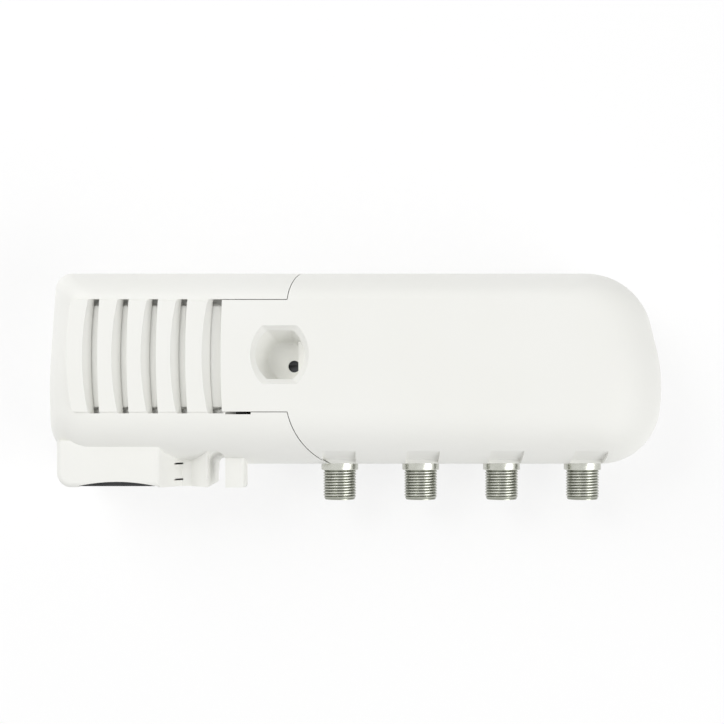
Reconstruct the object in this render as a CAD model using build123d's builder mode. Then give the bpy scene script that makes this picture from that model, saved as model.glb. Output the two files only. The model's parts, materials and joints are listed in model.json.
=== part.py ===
from build123d import *
import os
from math import acos, cos, radians, sin

# Wall-mounted aerial amplifier. The left half of its case holds a vented mains supply, and the right
# half a screened amplifier with four threaded coaxial sockets in the lower side.
# X runs along the case, Y up the wall and Z out from the wall. The origin is on the back face,
# midway between the two keyholes. Sizes are in millimetres. A size ending in set_in is measured from
# the case's left or right end, a rise from the case's lower side, and a drop from its upper side or,
# for a height, from its front.

# Case
case_length = 174.0
case_height = 54.4
case_depth = 42.0
wall = 2.2
plate_step = 0.4  # how far the flat front plate stands above the case's crest
flank_rise = 29.6  # height of the curved flank round the front
flank_top = 8.7  # width of the flank along each side, seen from the front
flank_bottom = 15.0
flank_left = 12.0
flank_right = 20.0
flank_fullness = 1.3  # how long the flank stays near the case's side before it curves in
seam_gap = 0.2  # gap between the two covers
skirt_gap = 0.2  # gap between the covers' lower rim and the base
overrun = 1.0  # how far a cut runs past the face it opens

# Case outline, going clockwise from the upper left: each corner's end of the case, how far it lies inside
# that end, its height as a share of the half height, and its rounding at the back rim and at the crest
corner_sides = (-1, 1, 1, 1, -1, -1)
corner_set_ins = (2.1, 6.6, -0.7, 2.6, 0.8, -0.1)
corner_height_shares = (1.0, 1.0, -0.11, -1.0, -1.0, -0.165)
rim_radii = (4.5, 19.5, 46.0, 16.8, 12.0, 150.0)
crest_radii = (3.0, 6.0, 13.0, 5.2, 4.0, 35.0)
flank_turns = (0, 15, 30, 45, 60, 75, 90)

# Front plate
plate_left_margin = 8.3
plate_right_margin = 11.8
plate_left_bow = 1.4
plate_right_bow = 4.6
plate_taper = 2.0  # how far the upper edge falls towards the right end
plate_corner = 1.5
plate_edge = 0.25
plate_root = 4.0  # how far the plate's body reaches down into the shell

# Seam between the covers, with the tongue of the amplifier cover and the ledge under the seam
tongue_set_in = 50.4
tongue_length = 17.8
tongue_bow = 0.4
seam_top_run = 3.7
seam_top_bow = 1.1
seam_bottom_run = 11.8
seam_bottom_bow = 3.2
ledge_width = 3.0
ledge_root = 1.5
ledge_thickness = 1.4
ledge_gap = 0.2
ledge_drop = 13.0
ledge_rise = 7.7
ledge_set_in = 1.6  # from the tongue's tip
snap_slot_set_in = 1.1  # the slot under the tongue that a blade goes in to free the cover
snap_slot_length = 6.9
snap_slot_width = 0.35

# Louvres
louvre_count = 4
louvre_pitch = 7.95
louvre_set_in = 12.7
louvre_width = 4.1
louvre_scoop = 2.0  # width of the sloping left side of each louvre
louvre_left_bow = 2.0
louvre_right_bow = 0.6
louvre_end = 0.3  # how far a louvre runs past the plate's lower edge
last_louvre_width = 5.3

# Adjuster recess in the tongue
recess_set_in = 15.8  # from the tongue's tip
recess_lift = 0.3  # above the plate's middle
recess_width = 16.6
recess_height = 16.5
recess_bow = 3.2
recess_depth = 12.0
recess_bevel = 1.6
recess_bevel_depth = 2.0
recess_draft = 1.5  # half of how far the left and the upper wall lean in on their way to the floor
recess_wall = 1.6
recess_corner = 1.2
recess_floor_round = 0.8
ramp_width = 1.8
ramp_height = 12.0
ramp_rise = 6.0
ramp_below = 2.4  # from the recess's middle to the ramp's
adjuster_right = 3.5  # of the recess's middle
adjuster_below = 3.0
adjuster_hole = 3.3

# Coaxial sockets
socket_count = 4
first_socket_gap = 14.0  # from the tongue's root
last_socket_set_in = 22.05
socket_z = 16.0
thread_diameter = 9.4
thread_length = 8.2
thread_undercut = 0.3
undercut_depth = 0.4
collar_diameter = 10.6
collar_out = 1.7  # how far the collar stands past the case's lower side
spigot_diameter = 7.0
spigot_length = 2.2
socket_bore = 6.0
insulator_set_in = 0.4
contact_diameter = 2.4
contact_bore = 1.0
contact_bore_depth = 7.0
contact_set_in = 1.4
contact_pin = 1.0
contact_reach = 4.5  # from the spigot's end to the pin's bend
contact_bend = 1.5
part_gap = 0.05  # radial clearance of the sockets' pieces
notch_gap = 0.15  # clearance round each collar in the cover
pocket_width = 9.2
pocket_top_rise = 4.3
pocket_low_rise = 1.4
pocket_wall = 1.4
pocket_gap = 1.2  # between a pocket's lower edge and the collar under it

# Mains inlet
inlet_set_in = 21.3
inlet_width = 22.0
inlet_depth = 15.0
inlet_length = 15.0
inlet_rim = 0.3  # how far the inlet's face lies inside the hood's lower side
inlet_gap = 0.1
inlet_round = 2.0
inlet_mouth = 8.2
inlet_mouth_pitch = 8.2
inlet_mouth_depth = 11.5
inlet_pin = 2.4
inlet_pin_pitch = 8.6
inlet_pin_set_in = 2.4
inlet_foot_width = 18.0
inlet_foot_depth = 4.0
inlet_tail = 1.6
inlet_tail_set_in = 2.0

# Inlet hood and cable clip under the mains half
hood_left_margin = 3.6  # between the inlet and the hood's side wall
hood_right_reach = 11.4
hood_reach = 5.7  # how far the hood stands past the case's lower side
hood_drop = 5.0
hood_corner = 4.0
hood_edge = 1.6
hood_wall = 2.0
hood_root_rise = 7.2
clip_slope = 5.6
clip_drop = 13.6
clip_width = 13.4
clip_valley = 2.6
clip_crest_drop = 6.6  # at the channel's side, where the clip's front rises again
channel_width = 4.5
channel_rise = 1.5
channel_liner = 1.6
channel_flare = 3.4  # how far the channel's arched end leans back by the case's front
flare_start = 8.0
prong_width = 5.4
prong_reach = 6.0
prong_drop = 11.0
prong_depth = 12.0
prong_round = 1.2
scallop_left_reach = 12.3
scallop_right_reach = 12.4
scallop_height = 1.6
latch_run = 4.8
latch_low_rise = 1.9
latch_height = 4.4
latch_width = 2.2
latch_gap = 0.5

# Base
base_floor = 2.0
lip_height = 4.5
lip_thickness = 1.6
lip_gap = 0.25
tab_gap = 0.2
tab_horn = 2.0  # how far each tab under a collar stops below the collar's axis
key_set_in = 29.0
key_head = 8.0
key_slot = 4.4
key_travel = 7.0
key_room = 3.0
key_wall = 1.4
label_length = 52.0
label_height = 26.0
label_depth = 0.3
corner_screw_set_in = 7.2
corner_screw_drop = 6.6
middle_screw_drop = 5.6
low_screw_rise = 6.4
case_boss = 6.6
case_screw = 3.0
case_screw_head = 5.6
case_head_height = 2.2
case_screw_reach = 12.0
case_head_sink = 0.4
screw_pad = 9.0
screw_pad_height = 5.0
boss_gap = 0.3
hole_gap = 0.2  # clearance round a screw where it passes through
thread_gap = 0.05  # clearance round a screw where it bites

# Mains supply board
board_thickness = 1.6
power_board_z = 7.6
power_board_set_in = 10.6
power_board_overlap = 5.4  # how far it reaches under the tongue
power_board_rise = 10.2
power_board_drop = 9.8
board_tab_margin = 0.1
board_tab_rise = 5.4
board_screw_inset = 2.8
post_diameter = 6.0
small_screw = 2.5
small_head = 4.6
small_head_height = 1.8
small_screw_length = 6.0
core_inset = 1.4
core_drop = 11.1
core_width = 30.0
core_headroom = 6.0
core_stack = 12.0
core_yoke = 5.0
core_limb = 10.0
winding_reach = 4.0
winding_gap = 0.1
bobbin_wall = 0.8
bobbin_foot = 1.0
bobbin_pin = 0.8
bobbin_pin_pitch = 5.0
fuse_inset = 5.9
fuse_rise = 3.1
fuse_length = 20.0
fuse_diameter = 5.0
fuse_cap = 5.0
fuse_cap_sheet = 0.1
fuse_lift = 1.0
fuse_clip_width = 4.0
fuse_clip_sheet = 0.6
fuse_clip_rise = 1.2  # how far a clip's arms reach past the fuse's axis
film_inset = 7.4
film_rise = 3.6
film_length = 10.0
film_width = 5.0
film_height = 9.0
film_round = 0.6
can_inset = 6.2
can_drop = 5.4
can_diameter = 9.6
can_height = 16.0
can_round = 0.8
can_base = 1.0
diode_drop = 7.0  # from the can's axis to the nearest diode
diode_pitch = 3.4
diode_count = 4
diode_body = 2.6
diode_length = 5.0
diode_lead = 0.8
diode_span = 9.0
diode_lift = 2.2
regulator_inset = 24.0
regulator_rise = 7.7
regulator_width = 10.0
regulator_thickness = 4.4
regulator_height = 9.0
regulator_lift = 3.0
regulator_lead = 0.8
regulator_lead_pitch = 2.54
regulator_tab = 1.2
regulator_tab_height = 15.5
sink_width = 14.0
sink_height = 16.0
sink_sheet = 1.2

# Vent baffle under the louvres
baffle_set_in = 10.2
baffle_overlap = 3.6  # how far it reaches under the tongue
baffle_low_margin = 2.3
baffle_high_margin = 1.2  # how far the baffle runs past the plate's upper edge
baffle_gap = 2.0
baffle_thickness = 1.2
baffle_leg = 2.0
baffle_leg_run = 6.0  # from a louvre's left edge to the bar beside it
baffle_leg_drop = 4.2
baffle_leg_rise = 5.5

# Screening chassis and amplifier board
chassis_overlap = 8.6  # from the tongue's tip to the chassis
chassis_set_in = 13.0
chassis_lip_gap = 0.35
chassis_drop = 6.6
chassis_top = 24.0
chassis_wall = 1.6
chassis_round = 1.5
chassis_post = 5.0
chassis_shoulder = 7.0
chassis_post_set_in = 4.6
chassis_pad = 6.0
lug_reach = 3.4
lug_spacing = 24.0
lug_width = 6.4
lug_thickness = 2.0
lid_thickness = 0.6
lid_screw_length = 5.0
amp_board_rise = 1.9
amp_board_gap = 0.5
trimmer_width = 9.6
trimmer_height = 4.8
rotor_diameter = 5.0
rotor_gap = 0.08
rotor_spigot = 3.0
rotor_spigot_length = 2.4
rotor_flange = 6.4
rotor_flange_height = 1.0
rotor_slot = 0.8
rotor_slot_depth = 1.2
rotor_top_gap = 0.4
chip_length = 6.0
chip_width = 4.0
chip_height = 1.6
splitter_length = 7.0
splitter_width = 5.0
splitter_height = 6.0
splitter_hole = 1.6
filter_inset = 25.0
filter_drop = 9.6
filter_pitch = 9.0
filter_count = 3
filter_width = 6.6
filter_height = 8.0
filter_round = 0.5
feed_rise = 8.6
feed_drop = 7.0
feed_diameter = 3.2
feed_flange = 5.0
feed_flange_thickness = 0.8
feed_length = 7.0
lead_diameter = 1.2
lead_bend = 2.4
lead_inset = 1.4

# Places on the amplifier board as shares of the chassis's length and breadth, and the cross recess
# of a screw's head as shares of the head
chip_shares = ((0.49, 0.62), (0.745, 0.665))
splitter_shares = ((0.617, 0.41), (0.862, 0.457))
cross_length_share = 0.6
cross_width_share = 0.14

# Lines that several pieces share: the case
STAND = (Align.CENTER, Align.CENTER, Align.MIN)
half_length = case_length / 2
half_height = case_height / 2
crest = case_depth - plate_step
shoulder = crest - flank_rise
rim = base_floor + skirt_gap
under_crest = crest - wall
lip_face = wall + lip_gap + lip_thickness
pad_top = base_floor + screw_pad_height
plate_top = half_height - flank_top
plate_bottom = flank_bottom - half_height
plate_middle = (plate_top + plate_bottom) / 2
tongue_left = tongue_set_in - half_length
seam_x = tongue_left + tongue_length
seam_top_x = seam_x + seam_top_run
seam_bottom_x = seam_x + seam_bottom_run
ledge_floor = case_depth - ledge_drop
ledge_run = seam_bottom_x + ledge_width - tongue_left
louvre_first_x = louvre_set_in - half_length
louvre_xs = [louvre_first_x + number * louvre_pitch for number in range(louvre_count)]
recess_x = tongue_left + recess_set_in
recess_y = plate_middle + recess_lift
recess_floor = case_depth - recess_depth
adjuster_x = recess_x + adjuster_right
adjuster_y = recess_y - adjuster_below

# Lines that several pieces share: the inlet, its hood and the cable clip
inlet_x = inlet_set_in - half_length
inlet_pin_xs = (inlet_x - inlet_pin_pitch / 2, inlet_x + inlet_pin_pitch / 2)
hood_left = inlet_x - inlet_width / 2 - hood_wall - hood_left_margin
hood_right = inlet_x + hood_right_reach
hood_bottom = -half_height - hood_reach
hood_front = case_depth - hood_drop
clip_front = case_depth - clip_drop
channel_left = hood_right + clip_width
channel_right = channel_left + channel_width
channel_x = (channel_left + channel_right) / 2
channel_top = channel_rise - half_height
inlet_face = hood_bottom + inlet_rim
inlet_back = inlet_face + inlet_length
inlet_front = hood_front - hood_wall - inlet_gap
inlet_z = inlet_front - inlet_depth / 2
inlet_tail_y = inlet_back - inlet_tail_set_in

# Lines that several pieces share: the supply board
board_left = power_board_set_in - half_length
board_right = tongue_left + power_board_overlap
board_low = power_board_rise - half_height
board_high = half_height - power_board_drop
power_board_top = power_board_z + board_thickness
power_screw_places = [(x, board_low + board_screw_inset) for x in (board_left + board_screw_inset,
                                                                   board_right - board_screw_inset)]
core_x = board_left + core_inset + core_width / 2
core_y = board_high - core_drop
core_low = power_board_top + bobbin_foot
core_height = under_crest - baffle_gap - baffle_thickness - core_headroom - core_low
fuse_x = board_left + fuse_inset + fuse_length / 2
fuse_y = board_low + fuse_rise
fuse_z = power_board_top + fuse_lift + fuse_diameter / 2
can_x = board_right - can_inset
can_y = board_high - can_drop
diode_ys = [can_y - diode_drop - number * diode_pitch for number in range(diode_count)]
regulator_x = board_left + regulator_inset
regulator_y = board_low + regulator_rise
feed_y = board_low + feed_rise
lead_solder_x = board_right - lead_inset
case_screw_places = (
    (corner_screw_set_in - half_length, half_height - corner_screw_drop),
    (tongue_left + ledge_width, half_height - middle_screw_drop),
    (hood_right + hood_wall + case_boss / 2, low_screw_rise - half_height),
)

# Lines that several pieces share: the chassis, its board and the sockets
chassis_left = tongue_left + chassis_overlap
chassis_right = half_length - chassis_set_in
chassis_low = lip_face + chassis_lip_gap - half_height
chassis_high = half_height - chassis_drop
chassis_length = chassis_right - chassis_left
chassis_breadth = chassis_high - chassis_low
chassis_mid = (chassis_left + chassis_length / 2, chassis_low + chassis_breadth / 2)
chassis_floor = pad_top + chassis_wall
post_spans = (chassis_length - 2 * chassis_post_set_in, chassis_breadth - 2 * chassis_post_set_in)
lug_places = [(chassis_right + lug_reach, side * lug_spacing / 2) for side in (-1, 1)]
feed_z = chassis_top - feed_drop
amp_board_z = chassis_floor + amp_board_rise
amp_board_top = amp_board_z + board_thickness
trimmer_top = amp_board_top + trimmer_height
rotor_top = recess_floor - recess_wall - rotor_top_gap
collar_end = half_height + collar_out
thread_start = collar_end + thread_undercut
socket_end = thread_start + thread_length
spigot_end = spigot_length + chassis_low
contact_bend_y = spigot_end + contact_reach
first_socket_x = seam_x + first_socket_gap
socket_pitch = (half_length - last_socket_set_in - first_socket_x) / (socket_count - 1)
socket_xs = [first_socket_x + number * socket_pitch for number in range(socket_count)]


def plan_outline(inset, turn=0):
    """Case outline drawn in by inset, and by each flank's width as its curve turns to 90 degrees."""
    drawn = (1 - cos(radians(turn))) ** flank_fullness
    top = inset + (flank_top - inset) * drawn
    bottom = inset + (flank_bottom - inset) * drawn
    left = inset + (flank_left - inset) * drawn
    right = inset + (flank_right - inset) * drawn
    lifts = (-top, -top, 0, bottom, bottom, 0)
    corners = []
    for side, set_in, height_share, lift in zip(corner_sides, corner_set_ins, corner_height_shares, lifts):
        reach = half_length - set_in - (right if side > 0 else left)
        corners.append((side * reach, height_share * half_height + lift))
    radii = [
        rim_radius - inset + (crest_radius - rim_radius + inset) * drawn
        for rim_radius, crest_radius in zip(rim_radii, crest_radii)
    ]
    with BuildSketch() as outline:
        with BuildLine():
            FilletPolyline(*corners, radius=radii, close=True)
        make_face()
    return outline.sketch


def case_block(inset, floor):
    """The case's rounded form, drawn in by inset all round, from the height floor up."""
    with BuildPart() as block:
        with BuildSketch(Plane.XY.offset(floor)):
            add(plan_outline(inset))
        extrude(amount=shoulder - floor)
        for turn in flank_turns:
            with BuildSketch(Plane.XY.offset(shoulder + (flank_rise - inset) * sin(radians(turn)))):
                add(plan_outline(inset, turn))
        loft()
    return block.part


def flank_height(rise):
    """Height of the lower flank's surface at the given rise above the case's lower side."""
    return shoulder + flank_rise * sin(acos(1 - (rise / flank_bottom) ** (1 / flank_fullness)))


def plate_outline():
    """Outline of the raised front plate: nearly straight sides and bowed ends."""
    left = plate_left_margin - half_length
    right = half_length - plate_right_margin
    upper_left = (left + plate_left_bow, plate_top)
    upper_right = (right - plate_right_bow, plate_top - plate_taper)
    lower_right = (right - plate_right_bow + plate_left_bow, plate_bottom)
    lower_left = (left + plate_left_bow, plate_bottom)
    with BuildSketch() as outline:
        with BuildLine():
            Line(upper_left, upper_right)
            ThreePointArc(upper_right, (right, plate_middle), lower_right)
            Line(lower_right, lower_left)
            ThreePointArc(lower_left, (left, plate_middle), upper_left)
        make_face()
        fillet(outline.vertices(), plate_corner)
    return outline.sketch


def seam_region(grow):
    """Plan of the amplifier cover, grown by grow: its tongue, and all right of the curved seam."""
    beyond_x = half_length + case_height
    beyond_y = case_height
    tongue_low = (tongue_left, plate_bottom)
    tongue_high = (tongue_left, plate_top)
    corner_high = (seam_x, plate_top)
    corner_low = (seam_x, plate_bottom)
    rim_high = (seam_top_x, half_height)
    rim_low = (seam_bottom_x, -half_height)
    with BuildSketch() as region:
        with BuildLine():
            ThreePointArc(tongue_low, (tongue_left - tongue_bow, plate_middle), tongue_high)
            Line(tongue_high, corner_high)
            ThreePointArc(corner_high, (seam_x + seam_top_bow, (plate_top + half_height) / 2), rim_high)
            Polyline(rim_high, (seam_top_x, beyond_y), (beyond_x, beyond_y), (beyond_x, -beyond_y))
            Polyline((beyond_x, -beyond_y), (seam_bottom_x, -beyond_y), rim_low)
            ThreePointArc(rim_low, (seam_x + seam_bottom_bow, (plate_bottom - half_height) / 2), corner_low)
            Line(corner_low, tongue_low)
        make_face()
        if grow:
            offset(amount=grow)
    return region.sketch


def seam_block(grow, floor):
    """Solid that stands on the amplifier cover's plan."""
    with BuildPart() as block:
        with BuildSketch(Plane.XY.offset(floor)):
            add(seam_region(grow))
        extrude(amount=case_depth + overrun - floor)
    return block.part


def ledge_band(grow, shrink, inset):
    """Band along the seam, between the case's inner form at inset and the ledge's lower face."""
    with BuildPart() as band:
        with BuildSketch(Plane.XY.offset(ledge_floor)):
            add(seam_region(grow))
            add(seam_region(shrink), mode=Mode.SUBTRACT)
            with Locations((tongue_left + ledge_set_in, ledge_rise - half_height)):
                Rectangle(ledge_run, case_height, align=Align.MIN, mode=Mode.INTERSECT)
        extrude(amount=case_depth - ledge_floor)
        add(case_block(inset, base_floor), mode=Mode.INTERSECT)
        add(case_block(wall + ledge_gap + ledge_thickness, base_floor), mode=Mode.SUBTRACT)
    return band.part


def louvre_outline(left, right, left_bow):
    """One louvre's outline: straight ends, with both sides bowed to the left."""
    low = plate_bottom - louvre_end
    middle_y = (plate_top + low) / 2
    upper_left = (left + left_bow, plate_top)
    lower_left = (left + left_bow, low)
    upper_right = (right + louvre_right_bow, plate_top)
    lower_right = (right + louvre_right_bow, low)
    with BuildSketch() as outline:
        with BuildLine():
            ThreePointArc(lower_left, (left, middle_y), upper_left)
            Line(upper_left, upper_right)
            ThreePointArc(upper_right, (right, middle_y), lower_right)
            Line(lower_right, lower_left)
        make_face()
    return outline.sketch


def louvre_cut(left, right):
    """Solid that cuts one louvre, with its left side sloping in, past both faces of the wall."""
    extra = louvre_scoop * overrun / (case_depth - under_crest)
    with BuildPart() as cut:
        with BuildSketch(Plane.XY.offset(case_depth + overrun)):
            add(louvre_outline(left - extra, right, louvre_left_bow))
        with BuildSketch(Plane.XY.offset(under_crest - overrun)):
            add(louvre_outline(left + louvre_scoop + extra, right, louvre_right_bow))
        loft(ruled=True)
    return cut.part


def recess_outline(inset):
    """Outline of the adjuster recess: flat above and below, bowed at both sides."""
    top = recess_y + recess_height / 2 - inset
    low = recess_y - recess_height / 2 + inset
    right = recess_x + recess_width / 2 - inset
    left = recess_x - recess_width / 2 + inset
    upper_right = (right - recess_bow, top)
    lower_right = (right - recess_bow, low)
    upper_left = (left + recess_bow, top)
    lower_left = (left + recess_bow, low)
    with BuildSketch() as outline:
        with BuildLine():
            Line(upper_left, upper_right)
            ThreePointArc(upper_right, (right, recess_y), lower_right)
            Line(lower_right, lower_left)
            ThreePointArc(lower_left, (left, recess_y), upper_left)
        make_face()
        fillet(outline.vertices(), recess_corner)
    return outline.sketch


def recess_cut():
    """Solid that cuts the adjuster recess: a bevelled rim, then a left and an upper wall that lean in."""
    with BuildPart() as cut:
        with BuildSketch(Plane.XY.offset(recess_floor)):
            with Locations((recess_draft, -recess_draft)):
                add(recess_outline(recess_bevel + recess_draft))
        with BuildSketch(Plane.XY.offset(case_depth - recess_bevel_depth)):
            add(recess_outline(recess_bevel))
        loft(ruled=True)
        fillet(cut.edges().group_by(Axis.Z)[0], recess_floor_round)
        with BuildSketch(Plane.XY.offset(case_depth - recess_bevel_depth)):
            add(recess_outline(recess_bevel))
        with BuildSketch(Plane.XY.offset(case_depth)):
            add(recess_outline(0))
        loft(ruled=True)
    return cut.part


def recess_ramp():
    """Raised block against the recess's right wall, beside the adjuster hole."""
    ramp_right = recess_x + recess_width / 2
    with BuildPart(Plane.XY.offset(recess_floor - recess_wall)) as ramp:
        with Locations((ramp_right, recess_y - ramp_below)):
            Box(
                ramp_width + recess_bevel,
                ramp_height,
                recess_wall + ramp_rise,
                align=(Align.MAX, Align.CENTER, Align.MIN),
            )
        with BuildSketch(Plane.XY.offset(recess_floor - recess_wall)):
            add(recess_outline(recess_bevel - recess_wall))
        extrude(amount=recess_depth, mode=Mode.INTERSECT)
    return ramp.part


def hood_block(inset):
    """Inlet hood and cable clip as one form, drawn in by inset, with its back open past the rim."""
    low = rim - 2 * inset
    with BuildPart() as block:
        with BuildSketch(Plane.XZ.offset(half_height - hood_root_rise)):
            with BuildLine():
                Polyline(
                    (hood_left, low),
                    (hood_left, hood_front),
                    (hood_right, hood_front),
                    (hood_right + clip_slope, clip_front),
                    (hood_right + clip_slope + clip_valley, clip_front),
                    (channel_left, case_depth - clip_crest_drop),
                    (channel_left, low),
                    close=True,
                )
            make_face()
            if inset:
                offset(amount=-inset, kind=Kind.INTERSECTION)
        extrude(amount=hood_root_rise + hood_reach - inset)
        corner = block.edges().filter_by(Axis.Z).group_by(Axis.X)[0].sort_by(Axis.Y)[0]
        fillet(corner, hood_corner - inset)
        if not inset:
            front_edges = block.faces().sort_by(Axis.Z)[-1].edges()
            fillet(front_edges.sort_by(Axis.Y)[:-1], hood_edge)
    return block.part


def channel_sketch(grow, lift=0):
    """Plan of the cable channel: straight sides and an arched end, raised by lift and grown by grow."""
    radius = channel_width / 2 + grow
    with BuildSketch() as plan:
        with Locations((channel_x, channel_top - channel_width / 2 + lift)):
            Circle(radius)
            Rectangle(2 * radius, case_height, align=(Align.CENTER, Align.MAX))
    return plan.sketch


def channel_cut():
    """Solid that cuts the cable channel, with its arched end leaning back towards the front."""
    with BuildPart() as cut:
        with BuildSketch():
            add(channel_sketch(0))
        extrude(amount=flare_start)
        with BuildSketch(Plane.XY.offset(flare_start)):
            add(channel_sketch(0))
        with BuildSketch(Plane.XY.offset(case_depth)):
            add(channel_sketch(0, channel_flare))
        loft(ruled=True)
    return cut.part


def channel_lining():
    """Wall of the cable channel where it runs into the case."""
    with BuildPart() as lining:
        with BuildSketch(Plane.XY.offset(rim)):
            add(channel_sketch(channel_liner, channel_flare))
        extrude(amount=case_depth - rim)
        add(case_block(0, rim), mode=Mode.INTERSECT)
    return lining.part


def scallop_cut():
    """Shallow arched cut in the hood's front wall, at its lower edge."""
    scallop_left = inlet_x - scallop_left_reach
    scallop_right = inlet_x + scallop_right_reach
    with BuildPart() as cut:
        with BuildSketch(Plane.XY.offset(inlet_front)):
            with BuildLine():
                ThreePointArc(
                    (scallop_left, hood_bottom),
                    ((scallop_left + scallop_right) / 2, hood_bottom + scallop_height),
                    (scallop_right, hood_bottom),
                )
                Polyline(
                    (scallop_right, hood_bottom),
                    (scallop_right, hood_bottom - overrun),
                    (scallop_left, hood_bottom - overrun),
                    (scallop_left, hood_bottom),
                )
            make_face()
        extrude(amount=hood_front - inlet_front + overrun)
    return cut.part


def cover_bosses():
    """Bosses inside the mains cover that the case screws bite in."""
    boss_low = pad_top + boss_gap
    with BuildPart() as bosses:
        with BuildSketch(Plane.XY.offset(boss_low)):
            with Locations(*case_screw_places):
                Circle(case_boss / 2)
        extrude(amount=crest - boss_low)
        add(case_block(wall / 2, base_floor), mode=Mode.INTERSECT)
        with BuildSketch(Plane.XY.offset(boss_low)):
            with Locations(*case_screw_places):
                Circle(case_screw / 2 + thread_gap)
        extrude(amount=case_screw_reach, mode=Mode.SUBTRACT)
    return bosses.part


def front_plate():
    """Flat front plate with its rounded edge, reaching down into the shell."""
    with BuildPart() as plate:
        with BuildSketch(Plane.XY.offset(crest - plate_root)):
            add(plate_outline())
        extrude(amount=plate_root + plate_step)
        fillet(plate.edges().group_by(Axis.Z)[-1], plate_edge)
    return plate.part


def case_shell():
    """Outer skin of both covers in one, with the raised front plate."""
    with BuildPart() as shell:
        add(case_block(0, rim))
        add(front_plate())
        add(case_block(wall, base_floor), mode=Mode.SUBTRACT)
    return shell.part


def power_cover(shell):
    """Mains half of the case: louvres, inlet hood and cable clip."""
    with BuildPart() as cover:
        add(shell)
        add(seam_block(0, 0), mode=Mode.SUBTRACT)
        add(hood_block(0))
        add(channel_lining())
        with BuildSketch(Plane.XZ.offset(half_height - wall)):
            prong_x = channel_right + (prong_width - prong_round) / 2
            with Locations((prong_x, case_depth - prong_drop - prong_depth / 2)):
                RectangleRounded(prong_width + prong_round, prong_depth, prong_round)
        extrude(amount=prong_reach + wall)
        add(case_block(wall, base_floor), mode=Mode.SUBTRACT)
        add(hood_block(hood_wall), mode=Mode.SUBTRACT)
        add(channel_lining())
        add(cover_bosses())
        add(ledge_band(ledge_root, -ledge_width, wall + ledge_gap))
        add(ledge_band(ledge_root, 0, wall / 2))
        add(channel_cut(), mode=Mode.SUBTRACT)
        with Locations((inlet_x, hood_bottom, inlet_z)):
            Box(
                inlet_width + 2 * inlet_gap,
                2 * (hood_wall + overrun),
                inlet_depth + 2 * inlet_gap,
                mode=Mode.SUBTRACT,
            )
        add(scallop_cut(), mode=Mode.SUBTRACT)
        for rise in (latch_low_rise, latch_low_rise + latch_height):
            with Locations((hood_right + latch_run, hood_bottom + rise, clip_front)):
                Box(latch_width, latch_gap, hood_front - clip_front, mode=Mode.SUBTRACT)
        with Locations((tongue_left + snap_slot_set_in, plate_bottom, case_depth)):
            Box(
                snap_slot_length,
                2 * (seam_gap + snap_slot_width),
                2 * ledge_drop,
                align=(Align.MIN, Align.CENTER, Align.CENTER),
                mode=Mode.SUBTRACT,
            )
        for left in louvre_xs:
            add(louvre_cut(left, left + louvre_width), mode=Mode.SUBTRACT)
        add(louvre_cut(tongue_left - last_louvre_width, tongue_left), mode=Mode.SUBTRACT)
        add(collar_notches(), mode=Mode.SUBTRACT)
    return cover.part


def collar_notches():
    """Solid that cuts a notch for each collar, open towards the wall."""
    notch = collar_diameter / 2 + notch_gap
    with BuildPart() as cut:
        with BuildSketch(Plane.XZ.offset(half_height - wall - overrun)):
            for x in socket_xs:
                with Locations((x, socket_z)):
                    Circle(notch)
                    Rectangle(2 * notch, case_depth, align=(Align.CENTER, Align.MAX))
        extrude(amount=wall + 2 * overrun)
    return cut.part


def pockets(grow):
    """Wedge that cuts the flat over each socket, steeper than the flank, grown by grow."""
    top_y = pocket_top_rise - half_height
    low_y = pocket_low_rise - half_height
    floor = socket_z + collar_diameter / 2 + pocket_gap
    outer_y = -half_height - overrun
    with BuildPart() as wedges:
        for x in socket_xs:
            with BuildSketch(Plane.YZ.offset(x)):
                with BuildLine():
                    Polyline(
                        (top_y, case_depth),
                        (top_y, flank_height(pocket_top_rise)),
                        (low_y, floor),
                        (outer_y, floor),
                        (outer_y, case_depth),
                        close=True,
                    )
                make_face()
                if grow:
                    offset(amount=grow, kind=Kind.INTERSECTION)
            extrude(amount=pocket_width / 2 + grow, both=True)
    return wedges.part


def amplifier_cover(shell):
    """Amplifier half of the case, with its tongue, the adjuster recess and the collar notches."""
    with BuildPart() as cover:
        add(shell)
        with BuildSketch(Plane.XY.offset(recess_floor - recess_wall)):
            add(recess_outline(recess_bevel - recess_wall))
        extrude(amount=crest - recess_floor + recess_wall)
        add(pockets(pocket_wall))
        add(case_block(0, rim), mode=Mode.INTERSECT)
        add(seam_block(-seam_gap, 0), mode=Mode.INTERSECT)
        add(recess_cut(), mode=Mode.SUBTRACT)
        with Locations((adjuster_x, adjuster_y, recess_floor)):
            Cylinder(adjuster_hole / 2, 2 * recess_depth, mode=Mode.SUBTRACT)
        add(recess_ramp())
        add(pockets(0), mode=Mode.SUBTRACT)
        add(collar_notches(), mode=Mode.SUBTRACT)
    return cover.part


def vent_baffle():
    """Plate under the louvres on four legs, which keeps fingers and light off the supply."""
    left = baffle_set_in - half_length
    right = tongue_left + baffle_overlap
    low = plate_bottom - baffle_low_margin
    high = plate_top + baffle_high_margin
    top = under_crest - baffle_gap
    leg_xs = (louvre_xs[0] + baffle_leg_run, louvre_xs[-1] + baffle_leg_run)
    leg_ys = (low + baffle_leg_rise, high - baffle_leg_drop)
    with BuildPart() as baffle:
        with BuildSketch(Plane.XY.offset(top - baffle_thickness)):
            with Locations((left, low)):
                Rectangle(right - left, high - low, align=Align.MIN)
            with Locations(*case_screw_places):
                Circle(case_boss / 2 + lip_gap, mode=Mode.SUBTRACT)
        extrude(amount=baffle_thickness)
        add(case_block(wall + lip_gap, base_floor), mode=Mode.INTERSECT)
        with BuildSketch(Plane.XY.offset(top)):
            with Locations(*[(x, y) for x in leg_xs for y in leg_ys]):
                Circle(baffle_leg / 2)
        extrude(amount=baffle_gap)
    return baffle.part


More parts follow.
